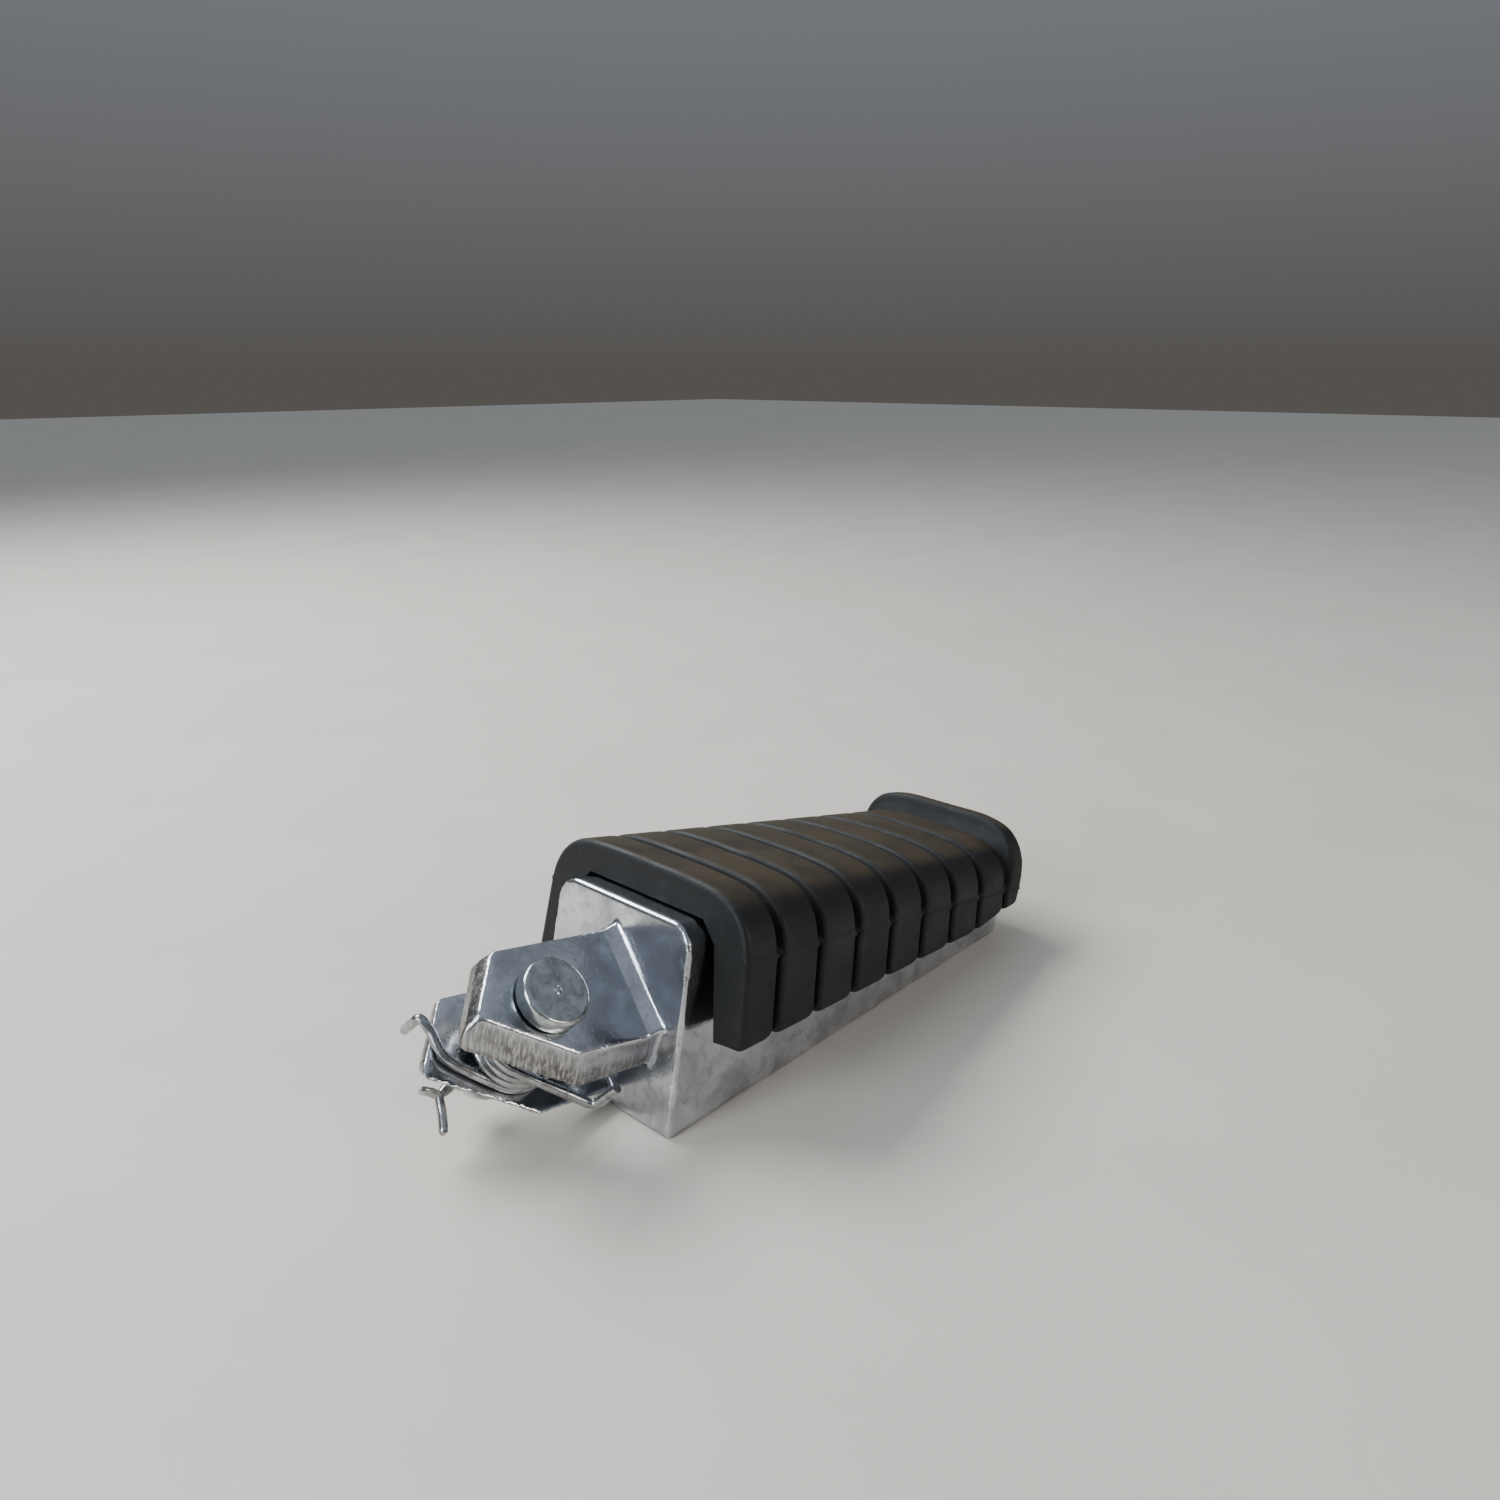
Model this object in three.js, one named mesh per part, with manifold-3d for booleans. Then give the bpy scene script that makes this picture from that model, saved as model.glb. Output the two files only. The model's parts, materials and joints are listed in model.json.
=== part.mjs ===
// Folding rider foot peg for a motorcycle: a cast aluminium bar with a clevis on
// its inner end, a ribbed rubber pad bolted to its top, and the clevis pin, split
// pin and return spring that belong to the hinge. Millimetres.
//
// The peg is drawn straight: X runs from the stop plate (X = 0) to the tip, Y is
// across, Z is up from the bottom corner of the stop plate. The bottom edge of the
// bar climbs towards the tip, so the finished group is pitched until the bar lies
// flat on the surface, and its box is centred over the origin.
import * as THREE from 'three';
import { mergeVertices } from 'three/addons/utils/BufferGeometryUtils.js';
import Module from 'manifold-3d';

const wasm = await Module();
wasm.setup();

// ---------------------------------------------------------------- driving sizes
const GAP = 0.3;                 // clearance between pieces that touch
const REACH = 200;               // longer than any cut needs to be

const BAR_LENGTH = 94.5;
const BAR_HEIGHT = 33.5;         // at the stop plate
const BAR_HALF_WIDTH = 16.4;     // at the bottom of the stop plate
const BAR_SIDE_DRAFT = 1.6;      // degrees, each side leans in going up
const BAR_PLAN_TAPER = 0.008;    // half width lost per mm of length
const BAR_CORNER_R = 4.5;        // top corners of the section
const BAR_TIP_R = 6;             // round of the tip, seen from above
const BAR_NOSE_R = 3;            // round under the tip, seen from the side
const BOTTOM_SLOPE = 12;         // degrees between the bottom edge and the tread
const PLATE_WALL = 5;
const SIDE_WALL = 3.8;
const TOP_WALL = 4;
const TIP_WALL = 6;

const PIN_X = -17.1;             // pin axis ahead of the stop plate
const CLEVIS_Z = 16.8;           // clevis centre above the bottom of the plate
const PIN_LEAN = 44;             // degrees that the pin leans sideways from upright
const UPPER_EAR_THICKNESS = 5;
const LOWER_EAR_THICKNESS = 4;
const EAR_GAP = 10;              // room between the two ears
const UPPER_EAR_INNER = 2.2;     // along the pin from the clevis centre
const EAR_BEVEL_DEPTH = 2.5;
// Corners of an ear from its root at the stop plate, round the nose and back:
// [x from the pin, u across the ear], on the outer face and where the bevel ends.
const EAR_FACE = [[20, 9.2], [-5.6, 9.0], [-11.7, -0.2], [1.9, -8.9], [20, -9.4]];
const EAR_SKIRT = [[20, 9.5], [-6.5, 9.1], [-13.0, -0.9], [2.4, -10.9], [20, -10.9]];
const EAR_BASE = [[20, 9.5], [-6.7, 9.0], [-13.6, -2.3], [2.9, -12.3], [20, -11.9]];
const EAR_CORNER_R = 1.2;
const EAR_ROOT_HALF = 9.3;
const ROOT_FILLET = 1.8;

const PIN_R = 3.5;
const PIN_RUNNING = 0.3;         // radial clearance of the pin in its bores
const PIN_HEAD_R = 5.4;
const PIN_HEAD_H = 3.1;
const PIN_HEAD_ROUND = 0.9;
const PIN_TAIL = 7;              // length past the lower ear
const PIN_CHAMFER = 0.8;
const WASHER_R = 6.6;
const WASHER_H = 1.2;

const COTTER_R = 0.95;           // of the closed round pair of legs
const COTTER_SPLIT = 0.16;       // between the two flat faces
const COTTER_CLEARANCE = 0.3;    // radial, in the pin's cross hole
const COTTER_TURN = 204;         // degrees, the way the legs leave the pin
const COTTER_SPREAD = 50;        // degrees that each leg is bent away
const COTTER_EXIT = 7.8;         // from the pin's axis to the bends
const COTTER_LEG_LONG = 6.2;
const COTTER_LEG_SHORT = 3.4;
const COTTER_EYE_R = 1.75;
const COTTER_STANDOFF = 0.45;    // from the washer to the cotter

const WIRE_R = 0.75;
const COIL_R = 6.45;             // mean radius
const COIL_HANG = -51;           // degrees; the way the loose coil leans on the pin
const COIL_PITCH = 1.6;
const COIL_TURNS = 3;
const COIL_BOTTOM = 1.2;         // lowest turn's centre above the lower ear
const COIL_STEPS = 22;           // drawn steps in one turn
const WIRE_SIDES = 8;
const STOP_LEG = { x: 7.8, u: -14.6, hook: 6.4 };     // from the pin axis
const FREE_LEG = { x: -9.4, u: -0.8, hook: 4.6 };
const FREE_LEG_BEND = [[-10.2, 1.4], [-10.5, 3.9], [-11.1, 6.4]];
const HOOK_R = 1.4;              // bend radius of both hooks

const PAD_START = 4.4;
const PAD_END = 91.4;
const PAD_TOP = 39.4;
const GROOVE_FIRST = 12.5;
const GROOVE_PITCH = 10.44;
const GROOVE_COUNT = 8;
const GROOVE_WIDTH = 2.2;
const GROOVE_DEPTH = 2;
const SLOT_WIDTH = 1.1;          // between the blocks of the skirt
const SLOT_DEPTH = 2.4;
const SLOT_TOP = 29.9;
const FLANGE_START = 84.6;       // foot of the raised flange at the tip
const FLANGE_FACE = 86.4;        // top of the flange's sloping inner face
// Half sections [y, z] from the skirt's lower edge up to the centre line.
const PAD_ROOT_SECTION = [
  [24.7, 15.9], [24.2, 26], [23.5, 30], [22.7, 32.6], [21.1, 35.4], [18.7, 37.5], [15.5, 38.8], [8, 39.4],
];
const PAD_TIP_SECTION = [
  [19.3, 25], [19.1, 27.5], [18.9, 30], [18.7, 32.8], [17.6, 35.4], [15.5, 37.8], [11.5, 39.3], [6, 39.9],
];
const FLANGE_FOOT_SECTION = [
  [19.2, 25.8], [19.1, 29], [18.9, 32.8], [17.8, 35.4], [15.5, 37.8], [11, 39.3], [6, 39.9],
];
const FLANGE_SECTION = [
  [19.2, 26], [19.5, 29.3], [19.4, 32.7], [18.9, 36.2], [17.6, 39.4], [15.1, 41.8], [10.3, 43.4],
];
const SKIRT_CUT = [[PAD_START, 15.9], [76, 23.1], [85.6, 25.4], [PAD_END, 26.2]];
const ROOM_FOOT = 10;            // heights at which the pad's inner walls are set
const ROOM_KNEE = 30.6;
const ROOM_ROOT = { foot: 19.8, knee: 16.3 };
const ROOM_TIP = { foot: 17.2, knee: 15.6 };

const CARRIER_T = 2;
const CARRIER_HALF_WIDTH = 9;
const CARRIER_END = 9;           // past the stud centres
const STUD_X = [28.2, 70];     // each under the middle of a rib
const STUD_R = 3;
const STUD_HOLE_CLEARANCE = 0.35;
const STUD_HEAD_R = 5.2;
const STUD_HEAD_H = 1.2;
const STUD_TAIL = 1.2;           // thread past the nut
const FLAT_WASHER_R = 6.2;
const FLAT_WASHER_H = 1.2;
const SPRING_WASHER_R = 5.4;
const SPRING_WASHER_H = 1.6;
const SPRING_WASHER_CUT = 1.2;
const NUT_ACROSS_FLATS = 10;
const NUT_H = 5;
const THREAD_CLEARANCE = 0.3;

// ------------------------------------------------------------- derived places
const rad = THREE.MathUtils.degToRad;
const barHalfWidthAt = (z) => BAR_HALF_WIDTH - z * Math.tan(rad(BAR_SIDE_DRAFT));
const bottomZ = (x) => x * Math.tan(rad(BOTTOM_SLOPE));
const grooveX = Array.from({ length: GROOVE_COUNT }, (_, i) => GROOVE_FIRST + i * GROOVE_PITCH);
const upperEarOuter = UPPER_EAR_INNER + UPPER_EAR_THICKNESS;
const lowerEarInner = UPPER_EAR_INNER - EAR_GAP;
const lowerEarOuter = lowerEarInner - LOWER_EAR_THICKNESS;
const headSeat = upperEarOuter + GAP;
const pinTip = lowerEarOuter - PIN_TAIL;
const washerTop = lowerEarOuter - GAP;
const cotterN = washerTop - WASHER_H - COTTER_STANDOFF - COTTER_R;
const padUnderside = BAR_HEIGHT + GAP;
const ceilingZ = BAR_HEIGHT - TOP_WALL;

// ------------------------------------------------------------------- materials
const finish = (color, roughness, metalness) =>
  new THREE.MeshStandardMaterial({ color, roughness, metalness });
const castAluminium = () => finish(0xb9bbbf, 0.28, 1.0);
const rubber = () => finish(0x2b2c2d, 0.8, 0.0);
const zincSteel = () => finish(0xa3a79c, 0.35, 1.0);
const springSteel = () => finish(0x9a9c98, 0.4, 1.0);
const blackSteel = () => finish(0x3a3a3c, 0.55, 0.8);

// ---------------------------------------------------------------- solid helpers
function solid(geometry, matrix = new THREE.Matrix4()) {
  const bare = geometry.clone();
  bare.deleteAttribute('normal');
  bare.deleteAttribute('uv');
  bare.applyMatrix4(matrix);
  const merged = mergeVertices(bare, 1e-4);
  return new wasm.Manifold(new wasm.Mesh({
    numProp: 3,
    vertProperties: new Float32Array(merged.attributes.position.array),
    triVerts: new Uint32Array(merged.index.array),
  }));
}

function meshOf(name, body, material) {
  const { vertProperties, triVerts } = body.getMesh();
  const geometry = new THREE.BufferGeometry();
  geometry.setAttribute('position', new THREE.BufferAttribute(vertProperties, 3));
  geometry.setIndex(new THREE.BufferAttribute(triVerts, 1));
  geometry.computeVertexNormals();
  const mesh = new THREE.Mesh(geometry, material);
  mesh.name = name;
  return mesh;
}

const at = (x, y, z) => new THREE.Matrix4().makeTranslation(x, y, z);

// Axes that a flat outline's x, y and its extrusion turn into.
const X = new THREE.Vector3(1, 0, 0);
const Y = new THREE.Vector3(0, 1, 0);
const Z = new THREE.Vector3(0, 0, 1);
const SIDE_VIEW = new THREE.Matrix4().makeBasis(X, Z, Y.clone().negate());
const END_VIEW = new THREE.Matrix4().makeBasis(Y, Z, X);

function prism(shape, depth, view = new THREE.Matrix4(), start = 0) {
  const geometry = new THREE.ExtrudeGeometry(shape, { depth, bevelEnabled: false, curveSegments: 8 });
  return solid(geometry, view.clone().multiply(at(0, 0, start)));
}

const outline = (points) => new THREE.Shape(points.map(([x, y]) => new THREE.Vector2(x, y)));

// A closed outline whose corners are rounded: each point is [x, y, radius].
function roundedOutline(points) {
  const shape = new THREE.Shape();
  points.forEach(([x, y, r], i) => {
    const here = new THREE.Vector2(x, y);
    const before = new THREE.Vector2(...points[(i + points.length - 1) % points.length]);
    const after = new THREE.Vector2(...points[(i + 1) % points.length]);
    const back = before.clone().sub(here).normalize();
    const on = after.clone().sub(here).normalize();
    const half = Math.acos(THREE.MathUtils.clamp(back.dot(on), -1, 1)) / 2;
    const leg = r / Math.tan(half);
    const start = here.clone().addScaledVector(back, leg);
    const end = here.clone().addScaledVector(on, leg);
    if (i === 0) shape.moveTo(start.x, start.y);
    else shape.lineTo(start.x, start.y);
    if (r > 0) {
      const centre = back.clone().add(on).normalize().multiplyScalar(r / Math.sin(half)).add(here);
      const a0 = Math.atan2(start.y - centre.y, start.x - centre.x);
      const a1 = Math.atan2(end.y - centre.y, end.x - centre.x);
      const clockwise = back.cross(on) > 0;
      shape.absarc(centre.x, centre.y, r, a0, a1, clockwise);
    }
  });
  shape.closePath();
  return shape;
}

// A straight-sided body between two outlines that have matching points.
function loft(first, last, start, end) {
  const geometry = new THREE.ExtrudeGeometry(outline(first), { depth: 1, bevelEnabled: false });
  const place = geometry.attributes.position;
  const spot = new THREE.Vector2();
  const nearest = (x, y) => {
    spot.set(x, y);
    const gaps = first.map(([a, b]) => spot.distanceToSquared(new THREE.Vector2(a, b)));
    return gaps.indexOf(Math.min(...gaps));
  };
  for (let i = 0; i < place.count; i += 1) {
    const k = nearest(place.getX(i), place.getY(i));
    const atEnd = place.getZ(i) > 0.5;
    const [x, y] = atEnd ? last[k] : first[k];
    place.setXYZ(i, x, y, atEnd ? end : start);
  }
  return geometry;
}

const bothSides = (half) => [...half, ...half.map(([y, z]) => [-y, z]).reverse()];

function cylinder(radius, z0, z1, x = 0, y = 0, sides = 32) {
  const geometry = new THREE.CylinderGeometry(radius, radius, z1 - z0, sides);
  const upright = new THREE.Matrix4().makeRotationX(Math.PI / 2);
  return solid(geometry, at(x, y, (z0 + z1) / 2).multiply(upright));
}

function box(x0, x1, y0, y1, z0, z1) {
  const geometry = new THREE.BoxGeometry(x1 - x0, y1 - y0, z1 - z0);
  return solid(geometry, at((x0 + x1) / 2, (y0 + y1) / 2, (z0 + z1) / 2));
}

// --------------------------------------------------------------- cast bar shell
// Local frame of the clevis: x along the peg, u across the ears, n up the pin.
const clevisFrame = at(0, 0, CLEVIS_Z).multiply(new THREE.Matrix4().makeRotationX(rad(PIN_LEAN)));

// An ear is bevelled all round its outer face and flat on its inner face.
function ear(inner, outwards, thickness) {
  const fromPin = (points, tailR) => points.map(([x, u], i) => {
    const atRoot = i === 0 || i === points.length - 1;
    return [PIN_X + x, u, atRoot ? 0 : tailR];
  });
  const face = roundedOutline(fromPin(EAR_FACE, EAR_CORNER_R)).extractPoints(3).shape;
  const skirt = roundedOutline(fromPin(EAR_SKIRT, EAR_CORNER_R)).extractPoints(3).shape;
  const base = roundedOutline(fromPin(EAR_BASE, EAR_CORNER_R)).extractPoints(3).shape;
  const pairs = (points) => points.map((p) => [p.x, p.y]);
  const bevelStart = thickness - EAR_BEVEL_DEPTH;
  const slab = solid(loft(pairs(base), pairs(skirt), 0, bevelStart));
  const cap = solid(loft(pairs(skirt), pairs(face), bevelStart, thickness));
  const flip = outwards > 0 ? new THREE.Matrix4() : new THREE.Matrix4().makeScale(1, 1, -1);
  const place = clevisFrame.clone().multiply(at(0, 0, inner)).multiply(flip);
  return slab.add(cap).transform(place.toArray());
}

// Sloping weld-like root between an ear's face and the stop plate.
function rootFillet(n, side) {
  const wedge = outline([[1, 0], [-ROOT_FILLET, 0], [0, ROOT_FILLET], [1, ROOT_FILLET]]);
  const along = new THREE.Matrix4().makeBasis(X, Z, Y.clone().negate());
  const blank = prism(wedge, 2 * EAR_ROOT_HALF, along, -EAR_ROOT_HALF);
  const flip = side > 0 ? new THREE.Matrix4() : new THREE.Matrix4().makeScale(1, 1, -1);
  const place = clevisFrame.clone().multiply(at(0, 0, n)).multiply(flip);
  return blank.transform(place.toArray());
}

function barBlank() {
  const profile = roundedOutline([
    [0, 0, 0.6],
    [BAR_LENGTH, bottomZ(BAR_LENGTH), BAR_NOSE_R],
    [BAR_LENGTH, BAR_HEIGHT, 3],
    [0, BAR_HEIGHT, 0.6],
  ]);
  const section = (inset) => {
    const footHalf = BAR_HALF_WIDTH - inset;
    const topHalf = barHalfWidthAt(BAR_HEIGHT) - inset;
    const shape = roundedOutline([
      [-footHalf, 0, 0],
      [footHalf, 0, 0],
      [topHalf, BAR_HEIGHT, BAR_CORNER_R],
      [-topHalf, BAR_HEIGHT, BAR_CORNER_R],
    ]);
    return shape.extractPoints(5).shape.map((p) => [p.x, p.y]);
  };
  const tipHalf = BAR_HALF_WIDTH - BAR_PLAN_TAPER * BAR_LENGTH;
  const plan = roundedOutline([
    [0, -BAR_HALF_WIDTH, 0],
    [BAR_LENGTH, -tipHalf, BAR_TIP_R],
    [BAR_LENGTH, tipHalf, BAR_TIP_R],
    [0, BAR_HALF_WIDTH, 0],
  ]);
  return prism(profile, 2 * BAR_HALF_WIDTH, SIDE_VIEW, -BAR_HALF_WIDTH)
    .intersect(solid(loft(section(0), section(BAR_PLAN_TAPER * BAR_LENGTH), 0, BAR_LENGTH), END_VIEW))
    .intersect(prism(plan, BAR_HEIGHT));
}

// The bar is an upturned channel, closed at both ends and open underneath.
function barHollow() {
  const x1 = BAR_LENGTH - TIP_WALL;
  const rootHalf = barHalfWidthAt(ceilingZ) - SIDE_WALL;
  const tipHalf = rootHalf - BAR_PLAN_TAPER * BAR_LENGTH;
  const plan = roundedOutline([
    [PLATE_WALL, -rootHalf, 2],
    [x1, -tipHalf, 4],
    [x1, tipHalf, 4],
    [PLATE_WALL, rootHalf, 2],
  ]);
  return prism(plan, ceilingZ + 10, undefined, -10);
}

function castBar() {
  const bore = cylinder(PIN_R + PIN_RUNNING, -REACH, REACH, PIN_X, 0, 48)
    .transform(clevisFrame.toArray());
  let body = barBlank()
    .add(ear(UPPER_EAR_INNER, 1, UPPER_EAR_THICKNESS))
    .add(ear(lowerEarInner, -1, LOWER_EAR_THICKNESS))
    .add(rootFillet(upperEarOuter - 0.01, 1))
    .add(rootFillet(UPPER_EAR_INNER + 0.01, -1))
    .add(rootFillet(lowerEarInner - 0.01, 1))
    .subtract(barHollow())
    .subtract(bore);
  for (const x of STUD_X) {
    body = body.subtract(cylinder(STUD_R + STUD_HOLE_CLEARANCE, 0, REACH, x, 0, 24));
  }
  return meshOf('peg_bar', body, castAluminium());
}

// ------------------------------------------------------------------- rubber pad
// The pad narrows evenly to the tip, where a flange stands up across its end.
function padBlank() {
  const spread = 0.8;
  const ribs = solid(loft(bothSides(PAD_ROOT_SECTION), bothSides(PAD_TIP_SECTION),
    PAD_START, FLANGE_FACE), END_VIEW);
  const foot = bothSides(FLANGE_FOOT_SECTION);
  const full = bothSides(FLANGE_SECTION);
  const shrunk = full.map(([y, z]) => [y * (1 - spread / 20), z > 40 ? z - spread : z]);
  const rise = solid(loft(foot, full, FLANGE_START, FLANGE_FACE), END_VIEW);
  const wall = solid(loft(full, full, FLANGE_FACE, PAD_END - spread), END_VIEW);
  const brow = solid(loft(full, shrunk, PAD_END - spread, PAD_END), END_VIEW);
  const plan = roundedOutline([
    [PAD_START, -REACH / 8, 0],
    [PAD_END, -PAD_TIP_SECTION[0][0] - 2, 3.4],
    [PAD_END, PAD_TIP_SECTION[0][0] + 2, 3.4],
    [PAD_START, REACH / 8, 0],
  ]);
  const below = outline([...SKIRT_CUT, [PAD_END, REACH], [PAD_START, REACH]]);
  return ribs.add(rise).add(wall).add(brow)
    .intersect(prism(plan, REACH))
    .intersect(prism(below, 2 * REACH, SIDE_VIEW, -REACH));
}

// Room for the bar: its section one gap larger, opening out towards the floor.
function barRoom() {
  const cut = ({ foot, knee }) => {
    const shape = roundedOutline([
      [-foot, ROOM_FOOT, 0],
      [foot, ROOM_FOOT, 0],
      [knee, ROOM_KNEE, 1],
      [knee - 3, padUnderside, 1.2],
      [-knee + 3, padUnderside, 1.2],
      [-knee, ROOM_KNEE, 1],
    ]);
    return shape.extractPoints(2).shape.map((p) => [p.x, p.y]);
  };
  return solid(loft(cut(ROOM_ROOT), cut(ROOM_TIP), PAD_START - 1, PAD_END + 1), END_VIEW);
}

function rubberPad() {
  let body = padBlank().subtract(barRoom());
  const grooveFloor = PAD_TOP - GROOVE_DEPTH;
  for (const x of grooveX) {
    const x0 = x - GROOVE_WIDTH / 2;
    body = body.subtract(box(x0, x0 + GROOVE_WIDTH, -REACH, REACH, grooveFloor, REACH / 2));
    const along = (x - PAD_START) / (FLANGE_FACE - PAD_START);
    const skin = THREE.MathUtils.lerp(PAD_ROOT_SECTION[2][0], PAD_TIP_SECTION[2][0], along);
    for (const side of [-1, 1]) {
      const y = [side * (skin - SLOT_DEPTH), side * REACH].sort((a, b) => a - b);
      body = body.subtract(box(x - SLOT_WIDTH / 2, x + SLOT_WIDTH / 2, y[0], y[1], 0, SLOT_TOP));
    }
  }
  const [first, last] = STUD_X;
  const lip = CARRIER_END + GAP;
  const wide = CARRIER_HALF_WIDTH + GAP;
  const carrierTop = padUnderside + CARRIER_T + GAP;
  body = body.subtract(box(first - lip, last + lip, -wide, wide, 0, carrierTop));
  for (const x of STUD_X) {
    body = body.subtract(cylinder(STUD_HEAD_R + GAP, 0, carrierTop + STUD_HEAD_H + GAP, x, 0, 20));
  }
  return meshOf('rubber_pad', body, rubber());
}

// ------------------------------------------------- steel carrier and its fixings
function carrierPlate() {
  const [first, last] = STUD_X;
  const end = CARRIER_END;
  const plan = roundedOutline([
    [first - end, -CARRIER_HALF_WIDTH, 3],
    [last + end, -CARRIER_HALF_WIDTH, 3],
    [last + end, CARRIER_HALF_WIDTH, 3],
    [first - end, CARRIER_HALF_WIDTH, 3],
  ]);
  let body = prism(plan, CARRIER_T, undefined, padUnderside);
  for (const x of STUD_X) {
    body = body.subtract(cylinder(STUD_R + GAP, 0, REACH, x, 0, 24));
  }
  return meshOf('pad_carrier_plate', body, blackSteel());
}

function ring(outer, inner, z0, z1, x, sides = 32) {
  return cylinder(outer, z0, z1, x, 0, sides).subtract(cylinder(inner, z0 - 1, z1 + 1, x, 0, sides));
}

function studSet(x, where) {
  const seat = padUnderside + CARRIER_T + GAP;
  const flatZ = ceilingZ - GAP;
  const springZ = flatZ - FLAT_WASHER_H - GAP;
  const nutZ = springZ - SPRING_WASHER_H - GAP;
  const studEnd = nutZ - NUT_H - STUD_TAIL;
  const bore = STUD_R + THREAD_CLEARANCE;

  const stud = cylinder(STUD_HEAD_R, seat, seat + STUD_HEAD_H, x, 0, 20)
    .add(cylinder(STUD_R, studEnd, seat + STUD_HEAD_H / 2, x, 0, 20));
  const flat = ring(FLAT_WASHER_R, bore, flatZ - FLAT_WASHER_H, flatZ, x);
  const split = ring(SPRING_WASHER_R, bore, springZ - SPRING_WASHER_H, springZ, x)
    .subtract(box(x, x + REACH, -SPRING_WASHER_CUT / 2, SPRING_WASHER_CUT / 2, 0, REACH));
  const hexR = NUT_ACROSS_FLATS / 2 / Math.cos(Math.PI / 6);
  const nut = cylinder(hexR, nutZ - NUT_H, nutZ, x, 0, 6)
    .subtract(cylinder(bore, 0, REACH, x, 0, 24));
  return [
    meshOf(`${where}_stud`, stud, zincSteel()),
    meshOf(`${where}_flat_washer`, flat, zincSteel()),
    meshOf(`${where}_spring_washer`, split, springSteel()),
    meshOf(`${where}_nut`, nut, zincSteel()),
  ];
}

// ------------------------------------------------ clevis pin, washer, split pin
// These are drawn in the clevis frame, with the pin's axis through PIN_X.
function clevisPin() {
  const top = headSeat + PIN_HEAD_H;
  const profile = [
    [0, pinTip],
    [PIN_R - PIN_CHAMFER, pinTip],
    [PIN_R, pinTip + PIN_CHAMFER],
    [PIN_R, headSeat],
    [PIN_HEAD_R - 0.3, headSeat],
    [PIN_HEAD_R, headSeat + 0.3],
    [PIN_HEAD_R, top - PIN_HEAD_ROUND],
    [PIN_HEAD_R - PIN_HEAD_ROUND * 0.3, top - PIN_HEAD_ROUND * 0.3],
    [PIN_HEAD_R - PIN_HEAD_ROUND, top],
    [0, top],
  ].map(([r, n]) => new THREE.Vector2(r, n));
  const upright = new THREE.Matrix4().makeRotationX(Math.PI / 2);
  const body = solid(new THREE.LatheGeometry(profile, 40), at(PIN_X, 0, 0).multiply(upright));
  const across = new THREE.CylinderGeometry(
    COTTER_R + COTTER_CLEARANCE, COTTER_R + COTTER_CLEARANCE, 4 * PIN_R, 20);
  const turned = new THREE.Matrix4().makeRotationZ(rad(COTTER_TURN - 90));
  const hole = solid(across, at(PIN_X, 0, cotterN).multiply(turned));
  return meshOf('clevis_pin', body.subtract(hole), zincSteel());
}

function pinWasher() {
  const body = ring(WASHER_R, PIN_R + PIN_RUNNING, washerTop - WASHER_H, washerTop, PIN_X, 40);
  return meshOf('pin_washer', body, zincSteel());
}

// One half-round wire, doubled back through an eye, with its two ends bent apart.
function splitPin() {
  const half = COTTER_SPLIT / 2;
  const exit = COTTER_EXIT;
  const eyeX = -(PIN_R + COTTER_EYE_R + 1.6);
  const spread = rad(COTTER_SPREAD);
  const points = [];
  const leg = (side, length) => {
    const run = [[exit + length * Math.cos(spread), side * (half + length * Math.sin(spread))],
      [exit + 0.5 * length * Math.cos(spread), side * (half + 0.5 * length * Math.sin(spread))],
      [exit + 0.5, side * (half + 0.35)],
      [exit - 0.6, side * half]];
    return run;
  };
  points.push(...leg(-1, COTTER_LEG_SHORT));
  points.push([0, -half], [-PIN_R, -half]);
  for (let a = 50; a <= 310; a += 26) {
    const turn = -rad(a);
    points.push([eyeX + COTTER_EYE_R * Math.cos(turn), COTTER_EYE_R * Math.sin(turn)]);
  }
  points.push([-PIN_R, half], [0, half]);
  points.push(...leg(1, COTTER_LEG_LONG).reverse());
  const path = new THREE.CatmullRomCurve3(
    points.map(([x, y]) => new THREE.Vector3(x, y, 0)), false, 'centripetal');
  const section = new THREE.Shape();
  section.absarc(0, 0, COTTER_R, 0, Math.PI, false);
  section.closePath();
  const geometry = new THREE.ExtrudeGeometry(section, {
    steps: 60, extrudePath: path, curveSegments: 6, bevelEnabled: false,
  });
  const place = at(PIN_X, 0, cotterN).multiply(new THREE.Matrix4().makeRotationZ(rad(COTTER_TURN)));
  return meshOf('split_pin', solid(geometry, place), springSteel());
}

// --------------------------------------------------------------- return spring
// The coil hangs loose, one gap from the pin on its upper side.
const coilRest = new THREE.Vector2(COIL_R - WIRE_R - PIN_R - GAP, 0)
  .rotateAround(new THREE.Vector2(), rad(COIL_HANG));

// Angle at which a line from a point outside the coil touches it.
function tangentAngle(x, u, side) {
  const fromCoil = new THREE.Vector2(x, u).sub(coilRest);
  return Math.atan2(fromCoil.y, fromCoil.x) + side * Math.acos(COIL_R / fromCoil.length());
}

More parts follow.
